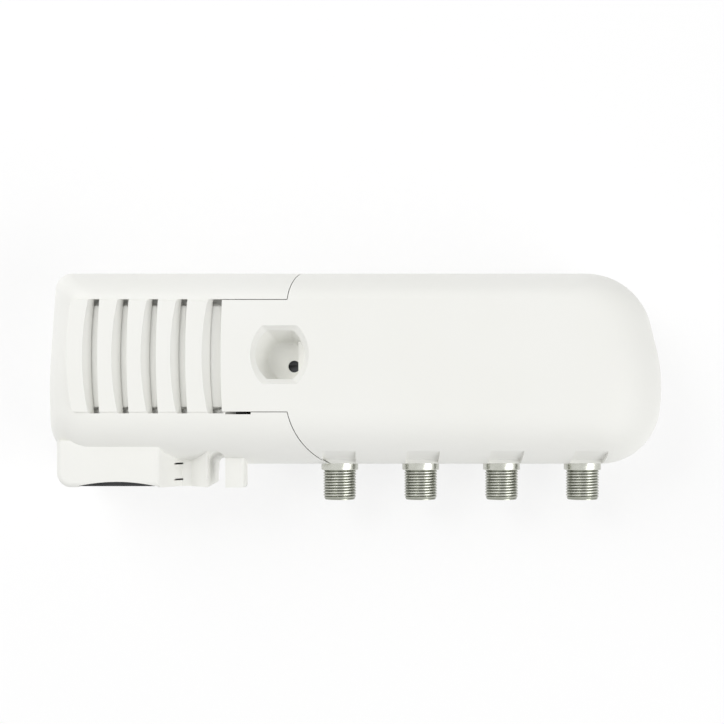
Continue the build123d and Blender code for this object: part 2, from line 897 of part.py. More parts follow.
def keyhole_sketch(grow):
    """Two keyholes, each with its head opening below its slot, grown by grow all round."""
    with BuildSketch() as holes:
        for x in (key_set_in - half_length, half_length - key_set_in):
            with Locations((x, -key_travel)):
                Circle(key_head / 2 + grow)
                Rectangle(key_slot + 2 * grow, key_travel, align=(Align.CENTER, Align.MIN))
            with Locations((x, 0)):
                Circle(key_slot / 2 + grow)
    return holes.sketch


def keyhole_room(grow):
    """Plan of the room over each keyhole in which the wall screw's head slides."""
    with BuildSketch() as room:
        for x in (key_set_in - half_length, half_length - key_set_in):
            with Locations((x, -key_travel / 2)):
                SlotCenterToCenter(key_travel, key_head + 2 * grow, rotation=90)
    return room.sketch


def collar_tabs():
    """Tabs that fill each collar notch of the cover from below."""
    half_notch = collar_diameter / 2 + notch_gap
    width = 2 * (half_notch - tab_gap)
    with BuildPart() as tabs:
        with BuildSketch(Plane.XZ.offset(half_height - wall - lip_gap - lip_thickness / 2)):
            for x in socket_xs:
                with Locations((x, 0)):
                    Rectangle(width, socket_z - tab_horn, align=(Align.CENTER, Align.MIN))
                with Locations((x, socket_z)):
                    Circle(half_notch, mode=Mode.SUBTRACT)
        extrude(amount=wall + lip_gap + lip_thickness / 2)
    return tabs.part


def rear_base():
    """Back of the case: floor, lip, posts, keyholes, and the tabs under the collars."""
    with BuildPart() as base:
        with BuildSketch():
            add(plan_outline(0))
            with Locations((hood_left, hood_bottom)):
                RectangleRounded(channel_left - hood_left, -hood_bottom, hood_corner, align=Align.MIN)
            add(channel_sketch(0), mode=Mode.SUBTRACT)
        extrude(amount=base_floor)
        with BuildSketch(Plane.XY.offset(base_floor)):
            add(plan_outline(wall + lip_gap))
            add(plan_outline(lip_face), mode=Mode.SUBTRACT)
            add(channel_sketch(channel_liner + lip_gap, channel_flare), mode=Mode.SUBTRACT)
            with Locations((hood_left, -half_height)):
                Rectangle(channel_left - hood_left, lip_face, align=Align.MIN, mode=Mode.SUBTRACT)
        extrude(amount=lip_height)
        add(collar_tabs())
        with BuildSketch(Plane.XY.offset(base_floor)):
            with Locations(*case_screw_places):
                Circle(screw_pad / 2)
            with Locations(chassis_mid):
                with GridLocations(*post_spans, 2, 2):
                    Circle(chassis_pad / 2)
            with Locations(*lug_places):
                Circle(chassis_pad / 2)
            add(plan_outline(wall + lip_gap), mode=Mode.INTERSECT)
        extrude(amount=screw_pad_height)
        with BuildSketch(Plane.XY.offset(base_floor)):
            with Locations(*power_screw_places):
                Circle(post_diameter / 2)
        extrude(amount=power_board_z - base_floor)
        with BuildSketch(Plane.XY.offset(base_floor)):
            add(keyhole_room(key_wall))
        extrude(amount=key_room + key_wall)
        with BuildSketch(Plane.XY.offset(base_floor)):
            add(keyhole_room(0))
        extrude(amount=key_room, mode=Mode.SUBTRACT)
        with BuildSketch():
            add(keyhole_sketch(0))
        extrude(amount=base_floor, mode=Mode.SUBTRACT)
        with BuildSketch():
            Rectangle(label_length, label_height)
        extrude(amount=label_depth, mode=Mode.SUBTRACT)
        with BuildSketch():
            with Locations(*case_screw_places):
                Circle(case_screw_head / 2 + hole_gap)
        extrude(amount=case_head_sink + case_head_height, mode=Mode.SUBTRACT)
        with BuildSketch():
            with Locations(*case_screw_places):
                Circle(case_screw / 2 + hole_gap)
        extrude(amount=pad_top, mode=Mode.SUBTRACT)
        small_hole = small_screw / 2 + thread_gap
        with BuildSketch(Plane.XY.offset(power_board_top - small_screw_length)):
            with Locations(*power_screw_places):
                Circle(small_hole)
        extrude(amount=small_screw_length, mode=Mode.SUBTRACT)
        with BuildSketch(Plane.XY.offset(pad_top + lug_thickness - small_screw_length)):
            with Locations(*lug_places):
                Circle(small_hole)
        extrude(amount=small_screw_length, mode=Mode.SUBTRACT)
    return base.part


def screws(places, seat, diameter, length, head, head_height, facing):
    """Pan-head screws with a cross recess: seat is the head's seat, and facing 1 has the heads up."""
    normal = (0, 0, facing)
    with BuildPart() as group:
        for x, y in places:
            plane = Plane(origin=(x, y, seat), z_dir=normal)
            with BuildSketch(plane):
                Circle(head / 2)
            extrude(amount=head_height)
            with BuildSketch(plane):
                Circle(diameter / 2)
            extrude(amount=-length)
            with BuildSketch(plane.offset(head_height)):
                Rectangle(head * cross_length_share, head * cross_width_share)
                Rectangle(head * cross_width_share, head * cross_length_share)
            extrude(amount=-head_height / 2, mode=Mode.SUBTRACT)
    return group.part


def figure_eight(diameter):
    """Outline of the two joined round mouths of the inlet, seen along the plug's way in."""
    with BuildSketch() as outline:
        SlotCenterToCenter(inlet_mouth_pitch, diameter)
    return outline.sketch


def mains_inlet_housing():
    """Black two-pole appliance inlet, with a foot that stands on the supply board."""
    with BuildPart() as housing:
        with BuildSketch(Plane.XZ.offset(-inlet_back)):
            with Locations((inlet_x, inlet_z)):
                RectangleRounded(inlet_width, inlet_depth, inlet_round)
        extrude(amount=inlet_length)
        with BuildSketch(Plane.XZ.offset(-inlet_back)):
            with Locations((inlet_x, power_board_top)):
                Rectangle(inlet_foot_width, inlet_z - power_board_top, align=(Align.CENTER, Align.MIN))
        extrude(amount=inlet_foot_depth)
        with BuildSketch(Plane.XZ.offset(-inlet_face)):
            with Locations((inlet_x, inlet_z)):
                add(figure_eight(inlet_mouth))
        extrude(amount=-inlet_mouth_depth, mode=Mode.SUBTRACT)
        for x in inlet_pin_xs:
            with BuildSketch(Plane.XZ.offset(-inlet_tail_y)):
                with Locations((x, inlet_z)):
                    Circle(inlet_pin / 2 + part_gap)
            extrude(amount=inlet_length, mode=Mode.SUBTRACT)
            with Locations((x, inlet_tail_y, power_board_top)):
                tail_hole = inlet_tail + 2 * part_gap
                Box(tail_hole, tail_hole, inlet_z - power_board_top, align=STAND, mode=Mode.SUBTRACT)
    return housing.part


def mains_inlet_pins():
    """The inlet's two round pins, each with a square tail down through the supply board."""
    tail_low = power_board_z - overrun
    with BuildPart() as pins:
        for x in inlet_pin_xs:
            with BuildSketch(Plane.XZ.offset(-inlet_tail_y)):
                with Locations((x, inlet_z)):
                    Circle(inlet_pin / 2)
            extrude(amount=inlet_tail_y - inlet_face - inlet_pin_set_in)
            with Locations((x, inlet_tail_y, tail_low)):
                Box(inlet_tail, inlet_tail, inlet_z - tail_low, align=STAND)
    return pins.part


def power_board():
    """Supply board: a rectangle with a tab under the inlet."""
    tab_right = inlet_x + inlet_width / 2 + board_tab_margin
    with BuildPart() as board:
        with BuildSketch(Plane.XY.offset(power_board_z)):
            with Locations((board_left, board_low)):
                Rectangle(board_right - board_left, board_high - board_low, align=Align.MIN)
                Rectangle(
                    tab_right - board_left,
                    power_board_rise - board_tab_rise,
                    align=(Align.MIN, Align.MAX),
                )
            with Locations(*power_screw_places):
                Circle(small_screw / 2 + hole_gap, mode=Mode.SUBTRACT)
            for x in inlet_pin_xs:
                with Locations((x, inlet_tail_y)):
                    Rectangle(inlet_tail + 2 * hole_gap, inlet_tail + 2 * hole_gap, mode=Mode.SUBTRACT)
            with Locations(*diode_lead_places()):
                Circle(diode_lead / 2 + part_gap, mode=Mode.SUBTRACT)
            with Locations(*bobbin_pin_places()):
                Circle(bobbin_pin / 2 + part_gap, mode=Mode.SUBTRACT)
            with Locations(*regulator_lead_places()):
                Circle(regulator_lead, mode=Mode.SUBTRACT)
            with Locations((lead_solder_x, feed_y)):
                Circle(lead_diameter / 2 + part_gap, mode=Mode.SUBTRACT)
        extrude(amount=board_thickness)
    return board.part


def diode_lead_places():
    """Both lead holes of each rectifier diode."""
    return [(can_x + side * diode_span / 2, y) for y in diode_ys for side in (-1, 1)]


def bobbin_pin_places():
    """Pins along both long sides of the transformer's bobbin."""
    reach = core_stack / 2 + winding_reach
    return [
        (core_x + step * bobbin_pin_pitch, core_y + side * reach) for step in (-1, 0, 1) for side in (-1, 1)
    ]


def regulator_lead_places():
    """The regulator's three leads in a row."""
    y = regulator_y + regulator_thickness / 2
    return [(regulator_x + step * regulator_lead_pitch, y) for step in (-1, 0, 1)]


def transformer_core():
    """Laminated core: two yokes and three limbs."""
    window = (core_width - 2 * core_yoke - core_limb) / 2
    with BuildPart() as core:
        with BuildSketch(Plane.XZ.offset(-core_y - core_stack / 2)):
            with Locations((core_x, core_low)):
                Rectangle(core_width, core_height, align=(Align.CENTER, Align.MIN))
            for side in (-1, 1):
                with Locations((core_x + side * (core_limb + window) / 2, core_low + core_height / 2)):
                    Rectangle(window, core_height - 2 * core_yoke, mode=Mode.SUBTRACT)
        extrude(amount=core_stack)
    return core.part


def coil_ring(inner_gap, outer_gap, low, height):
    """Rectangular ring round the core's middle limb, between two distances from the limb."""
    with BuildPart() as ring:
        with BuildSketch(Plane.XY.offset(low)):
            with Locations((core_x, core_y)):
                RectangleRounded(core_limb + 2 * outer_gap, core_stack + 2 * outer_gap, outer_gap)
                Rectangle(core_limb + 2 * inner_gap, core_stack + 2 * inner_gap, mode=Mode.SUBTRACT)
        extrude(amount=height)
    return ring.part


def transformer_bobbin():
    """Bobbin: a sleeve on the middle limb with three flanges, a foot on each side and its pins."""
    low = core_low + core_yoke
    height = core_height - 2 * core_yoke
    flange_step = (height - bobbin_wall) / 2
    reach = winding_reach + bobbin_wall
    with BuildPart() as bobbin:
        add(coil_ring(winding_gap, bobbin_wall, low, height))
        for flange_low in (low, low + flange_step, low + 2 * flange_step):
            add(coil_ring(winding_gap, reach, flange_low, bobbin_wall))
        for side in (-1, 1):
            with Locations((core_x, core_y + side * (core_stack / 2 + winding_reach), power_board_top)):
                foot_height = low + bobbin_wall - power_board_top
                Box(core_width / 2, 2 * bobbin_wall, foot_height, align=STAND)
        with BuildSketch(Plane.XY.offset(power_board_z - overrun)):
            with Locations(*bobbin_pin_places()):
                Circle(bobbin_pin / 2)
        extrude(amount=board_thickness + overrun)
    return bobbin.part


def transformer_winding(number):
    """One of the two windings, between the bobbin's flanges."""
    low = core_low + core_yoke
    flange_step = (core_height - 2 * core_yoke - bobbin_wall) / 2
    height = flange_step - bobbin_wall
    return coil_ring(bobbin_wall, winding_reach, low + bobbin_wall + number * flange_step, height)


def fuse_glass():
    """Glass tube of the mains fuse."""
    with BuildPart() as tube:
        with BuildSketch(Plane.YZ.offset(fuse_x - fuse_length / 2)):
            with Locations((fuse_y, fuse_z)):
                Circle(fuse_diameter / 2 - fuse_cap_sheet)
        extrude(amount=fuse_length)
    return tube.part


def fuse_caps():
    """Metal caps on both ends of the fuse."""
    with BuildPart() as caps:
        for start in (fuse_x - fuse_length / 2, fuse_x + fuse_length / 2 - fuse_cap):
            with BuildSketch(Plane.YZ.offset(start)):
                with Locations((fuse_y, fuse_z)):
                    Circle(fuse_diameter / 2)
                    Circle(fuse_diameter / 2 - fuse_cap_sheet, mode=Mode.SUBTRACT)
            extrude(amount=fuse_cap)
    return caps.part


def fuse_clips():
    """Sprung clips that hold the fuse's caps, each a foot and two curved arms."""
    inner = fuse_diameter / 2 + part_gap
    outer = inner + fuse_clip_sheet
    with BuildPart() as clips:
        for side in (-1, 1):
            middle = fuse_x + side * (fuse_length - fuse_cap) / 2
            with BuildSketch(Plane.YZ.offset(middle - fuse_clip_width / 2)):
                with Locations((fuse_y, fuse_z)):
                    Circle(outer)
                with Locations((fuse_y, power_board_top)):
                    Rectangle(fuse_diameter / 2, outer, align=(Align.CENTER, Align.MIN))
                with Locations((fuse_y, fuse_z)):
                    Circle(inner, mode=Mode.SUBTRACT)
                with Locations((fuse_y, fuse_z + fuse_clip_rise)):
                    Rectangle(2 * outer, outer, align=(Align.CENTER, Align.MIN), mode=Mode.SUBTRACT)
            extrude(amount=fuse_clip_width)
    return clips.part


def film_capacitor():
    """Boxed film capacitor across the mains."""
    with BuildPart(Plane.XY.offset(power_board_top)) as box:
        with Locations((board_right - film_inset - film_length / 2, board_low + film_rise)):
            Box(film_length, film_width, film_height, align=STAND)
        fillet(box.edges().filter_by(Axis.Z), film_round)
        fillet(box.edges().group_by(Axis.Z)[-1], film_round)
    return box.part


def smoothing_capacitor():
    """Electrolytic can, with a rolled top and a groove over its base."""
    radius = can_diameter / 2
    with BuildPart() as can:
        with BuildSketch(Plane.XY.offset(power_board_top)):
            with Locations((can_x, can_y)):
                Circle(radius)
        extrude(amount=can_height)
        fillet(can.edges().group_by(Axis.Z)[-1], can_round)
        with BuildSketch(Plane.XY.offset(power_board_top + 2 * can_base)):
            with Locations((can_x, can_y)):
                Circle(radius)
                Circle(radius - can_round / 2, mode=Mode.SUBTRACT)
        extrude(amount=can_base, mode=Mode.SUBTRACT)
    return can.part


def rectifier_diodes():
    """Four diodes lying side by side, each with both leads bent down through the board."""
    height = power_board_top + diode_lift
    with BuildPart() as diodes:
        for y in diode_ys:
            with BuildSketch(Plane.YZ.offset(can_x - diode_length / 2)):
                with Locations((y, height)):
                    Circle(diode_body / 2)
            extrude(amount=diode_length)
            with BuildLine():
                FilletPolyline(
                    (can_x - diode_span / 2, y, power_board_z - overrun),
                    (can_x - diode_span / 2, y, height),
                    (can_x + diode_span / 2, y, height),
                    (can_x + diode_span / 2, y, power_board_z - overrun),
                    radius=diode_lead,
                )
            with BuildSketch(Plane.XY.offset(power_board_z - overrun)):
                with Locations((can_x - diode_span / 2, y)):
                    Circle(diode_lead / 2)
            sweep()
    return diodes.part


def voltage_regulator():
    """Upright regulator: moulded body, metal tab and three leads."""
    low = power_board_top + regulator_lift
    with BuildPart() as regulator:
        with Locations((regulator_x, regulator_y, low)):
            stand_back = (Align.CENTER, Align.MIN, Align.MIN)
            Box(regulator_width, regulator_thickness, regulator_height, align=stand_back)
            Box(regulator_width, regulator_tab, regulator_tab_height, align=stand_back)
        for x, y in regulator_lead_places():
            with Locations((x, y, power_board_z - overrun)):
                Box(regulator_lead, regulator_lead, low - power_board_z + overrun, align=STAND)
    return regulator.part


def heat_sink():
    """Sheet heat sink behind the regulator, standing on the board."""
    with BuildPart() as sink:
        with Locations((regulator_x, regulator_y, power_board_top)):
            Box(sink_width, sink_sheet, sink_height, align=(Align.CENTER, Align.MAX, Align.MIN))
            with Locations((-sink_width / 2, -sink_sheet), (sink_width / 2, -sink_sheet)):
                Box(sink_sheet, 2 * sink_sheet, sink_height, align=(Align.CENTER, Align.MIN, Align.MIN))
    return sink.part


def post_places():
    """The four posts of the screening chassis."""
    with Locations(chassis_mid):
        return [tuple(place.position)[:2] for place in GridLocations(*post_spans, 2, 2).locations]


def screening_chassis():
    """Die-cast box round the amplifier board, with posts for board and lid and two lugs."""
    with BuildPart() as chassis:
        with BuildSketch(Plane.XY.offset(pad_top)):
            with Locations(chassis_mid):
                RectangleRounded(chassis_length, chassis_breadth, chassis_round)
        extrude(amount=chassis_top - pad_top)
        with BuildSketch(Plane.XY.offset(chassis_floor)):
            with Locations(chassis_mid):
                Rectangle(chassis_length - 2 * chassis_wall, chassis_breadth - 2 * chassis_wall)
        extrude(amount=chassis_top - chassis_floor, mode=Mode.SUBTRACT)
        with BuildSketch(Plane.XY.offset(chassis_floor)):
            with Locations(*post_places()):
                Circle(chassis_shoulder / 2)
        extrude(amount=amp_board_rise)
        with BuildSketch(Plane.XY.offset(amp_board_z)):
            with Locations(*post_places()):
                Circle(chassis_post / 2)
        extrude(amount=chassis_top - amp_board_z)
        with BuildSketch(Plane.XY.offset(pad_top)):
            with Locations(*lug_places):
                Circle(lug_width / 2)
                Rectangle(lug_reach, lug_width, align=(Align.MAX, Align.CENTER))
                Circle(small_screw / 2 + hole_gap, mode=Mode.SUBTRACT)
        extrude(amount=lug_thickness)
        with BuildSketch(Plane.XY.offset(chassis_top - lid_screw_length)):
            with Locations(*post_places()):
                Circle(small_screw / 2 + thread_gap)
        extrude(amount=lid_screw_length, mode=Mode.SUBTRACT)
        with BuildSketch(Plane.XZ.offset(-chassis_low - chassis_wall - overrun)):
            for x in socket_xs:
                with Locations((x, socket_z)):
                    Circle(spigot_diameter / 2 + part_gap)
        extrude(amount=chassis_wall + 2 * overrun, mode=Mode.SUBTRACT)
        with BuildSketch(Plane.YZ.offset(chassis_left - overrun)):
            with Locations((feed_y, feed_z)):
                Circle(feed_diameter / 2 + part_gap)
        extrude(amount=chassis_wall + 2 * overrun, mode=Mode.SUBTRACT)
    return chassis.part


def chassis_lid():
    """Tinned lid of the screening chassis, with a hole for the adjuster's shaft."""
    with BuildPart() as lid:
        with BuildSketch(Plane.XY.offset(chassis_top)):
            with Locations(chassis_mid):
                RectangleRounded(chassis_length, chassis_breadth, chassis_round)
            with Locations(*post_places()):
                Circle(small_screw / 2 + hole_gap, mode=Mode.SUBTRACT)
            with Locations((adjuster_x, adjuster_y)):
                Circle(rotor_diameter / 2 + rotor_gap, mode=Mode.SUBTRACT)
        extrude(amount=lid_thickness)
    return lid.part


def amplifier_board():
    """Amplifier board: fits the chassis, with a notch at each post."""
    side = 2 * (chassis_wall + amp_board_gap)
    with BuildPart() as board:
        with BuildSketch(Plane.XY.offset(amp_board_z)):
            with Locations(chassis_mid):
                Rectangle(chassis_length - side, chassis_breadth - side)
            with Locations(*post_places()):
                Rectangle(chassis_post + 2 * hole_gap, chassis_post + 2 * hole_gap, mode=Mode.SUBTRACT)
            with Locations(*[(x, contact_bend_y) for x in socket_xs]):
                Circle(contact_pin / 2 + part_gap, mode=Mode.SUBTRACT)
        extrude(amount=board_thickness)
    return board.part


    """Place where each socket's pin goes down into the amplifier board."""
    return spigot_end + contact_reach


def trimmer_body():
    """Square body of the level trimmer, with a bore for the rotor's spigot."""
    with BuildPart() as body:
        with Locations((adjuster_x, adjuster_y, amp_board_top)):
            Box(trimmer_width, trimmer_width, trimmer_height, align=STAND)
        with Locations((adjuster_x, adjuster_y, trimmer_top)):
            spigot = rotor_spigot / 2 + rotor_gap
            Cylinder(spigot, 2 * (rotor_spigot_length + rotor_gap), mode=Mode.SUBTRACT)
    return body.part


def level_adjuster():
    """Turning shaft of the trimmer: spigot, flange, and a slotted end under the recess's hole."""
    with BuildPart() as rotor:
        with Locations((adjuster_x, adjuster_y, trimmer_top)):
            Cylinder(rotor_flange / 2, rotor_flange_height, align=STAND)
            Cylinder(rotor_diameter / 2, rotor_top - trimmer_top, align=STAND)
            Cylinder(rotor_spigot / 2, rotor_spigot_length, align=(Align.CENTER, Align.CENTER, Align.MAX))
        with Locations((adjuster_x, adjuster_y, rotor_top)):
            Box(rotor_diameter, rotor_slot, 2 * rotor_slot_depth, mode=Mode.SUBTRACT)
    return rotor.part


def chassis_places(shares):
    """Places given as shares of the chassis's length and breadth."""
    return [(chassis_left + x * chassis_length, chassis_low + y * chassis_breadth) for x, y in shares]


def amplifier_chips():
    """Two amplifier stages in flat black packages."""
    with BuildPart(Plane.XY.offset(amp_board_top)) as chips:
        with Locations(*chassis_places(chip_shares)):
            Box(chip_length, chip_width, chip_height, align=STAND)
    return chips.part


def splitter_cores():
    """Two ferrite blocks, each with two holes for the splitter's wires."""
    with BuildPart() as cores:
        for x, y in chassis_places(splitter_shares):
            with BuildSketch(Plane.XZ.offset(-y - splitter_width / 2)):
                with Locations((x, amp_board_top)):
                    Rectangle(splitter_length, splitter_height, align=(Align.CENTER, Align.MIN))
                with Locations((x, amp_board_top + splitter_height / 2)):
                    with Locations((-splitter_hole, 0), (splitter_hole, 0)):
                        Circle(splitter_hole / 2, mode=Mode.SUBTRACT)
            extrude(amount=splitter_width)
    return cores.part


def filter_cans():
    """Row of small screened filter coils."""
    with BuildPart(Plane.XY.offset(amp_board_top)) as cans:
        for number in range(filter_count):
            x = chassis_left + filter_inset + number * filter_pitch
            with Locations((x, chassis_high - filter_drop)):
                Box(filter_width, filter_width, filter_height, align=STAND)
        fillet(cans.edges().filter_by(Axis.Z), filter_round)
        top_edges = cans.edges().group_by(Axis.Z)[-1]
        fillet(top_edges, filter_round)
    return cans.part


def feedthrough():
    """Insulated bush in the chassis wall that carries the supply's lead."""
    start = chassis_left - feed_flange_thickness
    with BuildPart() as bush:
        with BuildSketch(Plane.YZ.offset(start)):
            with Locations((feed_y, feed_z)):
                Circle(feed_flange / 2)
        extrude(amount=feed_flange_thickness)
        with BuildSketch(Plane.YZ.offset(start)):
            with Locations((feed_y, feed_z)):
                Circle(feed_diameter / 2)
        extrude(amount=feed_length)
        with BuildSketch(Plane.YZ.offset(start)):
            with Locations((feed_y, feed_z)):
                Circle(lead_diameter / 2 + part_gap)
        extrude(amount=feed_length, mode=Mode.SUBTRACT)
    return bush.part


def supply_lead():
    """Stiff lead from the supply board, through the bush and down to the amplifier board."""
    inside_x = chassis_left + feed_length + lead_bend
    with BuildPart() as lead:
        with BuildLine():
            FilletPolyline(
                (lead_solder_x, feed_y, power_board_z - overrun),
                (lead_solder_x, feed_y, feed_z),
                (inside_x, feed_y, feed_z),
                (inside_x, feed_y, amp_board_top),
                radius=lead_bend,
            )
        with BuildSketch(Plane.XY.offset(power_board_z - overrun)):
            with Locations((lead_solder_x, feed_y)):
                Circle(lead_diameter / 2)
        sweep()
    return lead.part


def socket_body(x):
    """One threaded coaxial socket: spigot, collar, undercut and thread round a bore."""
    steps = (
        (-spigot_end, -chassis_low, spigot_diameter),
        (-chassis_low, collar_end, collar_diameter),
        (collar_end, thread_start, thread_diameter - 2 * undercut_depth),
        (thread_start, socket_end, thread_diameter),
    )
    with BuildPart() as body:
        for start, end, diameter in steps:
            with BuildSketch(Plane.XZ.offset(start)):
                with Locations((x, socket_z)):
                    Circle(diameter / 2)
            extrude(amount=end - start)
        with BuildSketch(Plane.XZ.offset(-spigot_end)):
            with Locations((x, socket_z)):
                Circle(socket_bore / 2)
        extrude(amount=socket_end + spigot_end, mode=Mode.SUBTRACT)
    return body.part


def socket_insulator(x):
    """Insulator that fills a socket's bore, with a step inside it for the contact."""
    front = socket_end - insulator_set_in
    with BuildPart() as insulator:
        with BuildSketch(Plane.XZ.offset(-spigot_end)):
            with Locations((x, socket_z)):
                Circle(socket_bore / 2 - part_gap)
                Circle(contact_pin / 2 + part_gap, mode=Mode.SUBTRACT)
        extrude(amount=front + spigot_end)
        with BuildSketch(Plane.XZ.offset(front - contact_set_in)):
            with Locations((x, socket_z)):
                Circle(contact_diameter / 2 + part_gap)
        extrude(amount=-contact_bore_depth - contact_diameter, mode=Mode.SUBTRACT)
    return insulator.part


def socket_contact(x):
    """Sprung centre contact of a socket, with its pin bent down into the amplifier board."""
    front = socket_end - insulator_set_in - contact_set_in
    sleeve = contact_bore_depth + contact_diameter
    with BuildPart() as contact:
        with BuildLine():
            FilletPolyline(
                (x, sleeve - front, socket_z),
                (x, contact_bend_y, socket_z),
                (x, contact_bend_y, amp_board_z),
                radius=contact_bend,
            )
        with BuildSketch(Plane.XZ.offset(front - sleeve)):
            with Locations((x, socket_z)):
                Circle(contact_pin / 2)
        sweep()
        with BuildSketch(Plane.XZ.offset(front - sleeve)):
            with Locations((x, socket_z)):
                Circle(contact_diameter / 2)
        extrude(amount=sleeve)
        with BuildSketch(Plane.XZ.offset(front)):
            with Locations((x, socket_z)):
                Circle(contact_bore / 2)
        extrude(amount=-contact_bore_depth, mode=Mode.SUBTRACT)
    return contact.part


def write(piece, name):
    """Write one piece under its name."""
    piece.label = name
    export_step(piece, f"parts/{name}.step")


os.makedirs("parts", exist_ok=True)
shell = case_shell()
small_sizes = (small_screw, small_screw_length, small_head, small_head_height, 1)
lid_seat = chassis_top + lid_thickness
case_head_seat = case_head_sink + case_head_height

write(rear_base(), "rear_base")
write(power_cover(shell), "power_cover")
write(amplifier_cover(shell), "amplifier_cover")
write(vent_baffle(), "vent_baffle")
write(
    screws(
        case_screw_places,
        case_head_seat,
        case_screw,
        case_screw_reach,
        case_screw_head,
        case_head_height,
        -1,
    ),
    "case_screws",
)
write(mains_inlet_housing(), "mains_inlet_housing")
write(mains_inlet_pins(), "mains_inlet_pins")
write(power_board(), "power_board")
write(screws(power_screw_places, power_board_top, *small_sizes), "power_board_screws")
write(transformer_core(), "transformer_core")
write(transformer_bobbin(), "transformer_bobbin")
write(transformer_winding(0), "mains_winding")
write(transformer_winding(1), "low_voltage_winding")
write(fuse_glass(), "fuse_glass")
write(fuse_caps(), "fuse_caps")
write(fuse_clips(), "fuse_clips")
write(film_capacitor(), "film_capacitor")
write(smoothing_capacitor(), "smoothing_capacitor")
write(rectifier_diodes(), "rectifier_diodes")
write(voltage_regulator(), "voltage_regulator")
write(heat_sink(), "heat_sink")
write(screening_chassis(), "screening_chassis")
write(chassis_lid(), "chassis_lid")
write(
    screws(post_places(), lid_seat, small_screw, lid_screw_length, small_head, small_head_height, 1),
    "lid_screws",
)
write(screws(lug_places, pad_top + lug_thickness, *small_sizes), "chassis_screws")
write(amplifier_board(), "amplifier_board")
write(amplifier_chips(), "amplifier_chips")
write(splitter_cores(), "splitter_cores")
write(filter_cans(), "filter_cans")
write(feedthrough(), "feedthrough")
write(supply_lead(), "supply_lead")
write(trimmer_body(), "trimmer_body")
write(level_adjuster(), "level_adjuster")
for number, x in enumerate(socket_xs, start=1):
    write(socket_body(x), f"socket_body_{number}")
    write(socket_insulator(x), f"socket_insulator_{number}")
    write(socket_contact(x), f"socket_contact_{number}")
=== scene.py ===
import json
import logging
import math
from dataclasses import dataclass
from enum import Enum

import bpy
import numpy as np
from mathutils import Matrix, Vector


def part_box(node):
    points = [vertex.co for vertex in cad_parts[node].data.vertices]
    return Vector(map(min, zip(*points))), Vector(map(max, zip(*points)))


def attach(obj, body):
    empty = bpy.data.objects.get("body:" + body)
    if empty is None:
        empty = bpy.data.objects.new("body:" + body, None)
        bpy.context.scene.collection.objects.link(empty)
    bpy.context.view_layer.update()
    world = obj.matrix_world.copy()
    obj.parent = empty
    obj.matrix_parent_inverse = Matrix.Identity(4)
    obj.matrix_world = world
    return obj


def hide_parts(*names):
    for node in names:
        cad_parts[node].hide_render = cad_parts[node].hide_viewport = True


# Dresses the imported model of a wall-mounted aerial amplifier: white moulded covers with louvres, an
# inlet hood and a cable clip, and four threaded coaxial sockets. X runs along the case, Y up the wall
# and Z out from the wall, in metres. Sizes in the classes are in millimetres.

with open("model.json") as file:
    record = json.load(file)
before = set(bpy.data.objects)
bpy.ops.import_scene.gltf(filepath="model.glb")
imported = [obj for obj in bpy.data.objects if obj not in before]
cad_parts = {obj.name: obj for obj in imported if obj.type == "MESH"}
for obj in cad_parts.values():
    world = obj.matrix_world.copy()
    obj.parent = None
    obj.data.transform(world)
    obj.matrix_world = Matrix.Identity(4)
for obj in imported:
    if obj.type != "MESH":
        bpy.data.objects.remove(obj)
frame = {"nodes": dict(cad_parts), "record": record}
log = logging.getLogger("aerial_amplifier")

# One millimetre in metres.
MM = 0.001
# Cells in a metre of the grid that decides whether two points share a place.
JOIN_GRID = 2e6
# Blender's noise stays mostly between these two values.
NOISE_LOW, NOISE_HIGH = 0.3, 0.7
# Radians that Blender's wave texture runs through in one unit of length at a scale of 1.
WAVE_RATE = 20.0
# Numbers of a colour Mix node's sockets: its factor, its two colours and its result.
MIX_FACTOR, MIX_A, MIX_B, MIX_RESULT = 0, 6, 7, 2
# The aerial sockets, from left to right.
SOCKETS = (1, 2, 3, 4)


class Body(Enum):
    """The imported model's bodies that new pieces ride on."""

    CASE = "case"


class Grain(Enum):
    """How a finish's fine grain lies: the stretch of its cells along X, Y and Z."""

    EVEN = (1.0, 1.0, 1.0)
    ALONG_X = (0.04, 1.0, 1.0)


class StripeWay(Enum):
    """The axis along which a finish's stripes follow each other."""

    Y = "Y"
    Z = "Z"


def linear(hex_colour: str) -> tuple[float, float, float, float]:
    """Turns an sRGB hex colour into linear light, by the standard's straight foot and power curve.

    Args:
        hex_colour: six hex digits.

    Returns:
        Red, green, blue and an alpha of 1, all from 0 to 1.
    """
    channels = np.array([int(hex_colour[start:start + 2], 16) for start in (0, 2, 4)]) / 255.0
    light = np.where(channels <= 0.04045, channels / 12.92, ((channels + 0.055) / 1.055) ** 2.4)
    return (*light.tolist(), 1.0)


def add_node(
    tree: bpy.types.NodeTree, kind: str, settings: dict | None = None, links: dict | None = None
) -> bpy.types.Node:
    """Adds one node with its settings and its incoming links.

    Args:
        tree: node tree that the node goes into.
        kind: Blender's name of the node type.
        settings: input socket name or number, or property name, and its value.
        links: input socket name or number, and the output socket that feeds it.

    Returns:
        The new node.
    """
    node = tree.nodes.new(kind)
    for name, value in (settings or {}).items():
        if isinstance(name, int) or name in node.inputs:
            node.inputs[name].default_value = value
        else:
            setattr(node, name, value)
    for name, source in (links or {}).items():
        tree.links.new(source, node.inputs[name])
    return node


# ---------------------------------------------------------------- Finishes


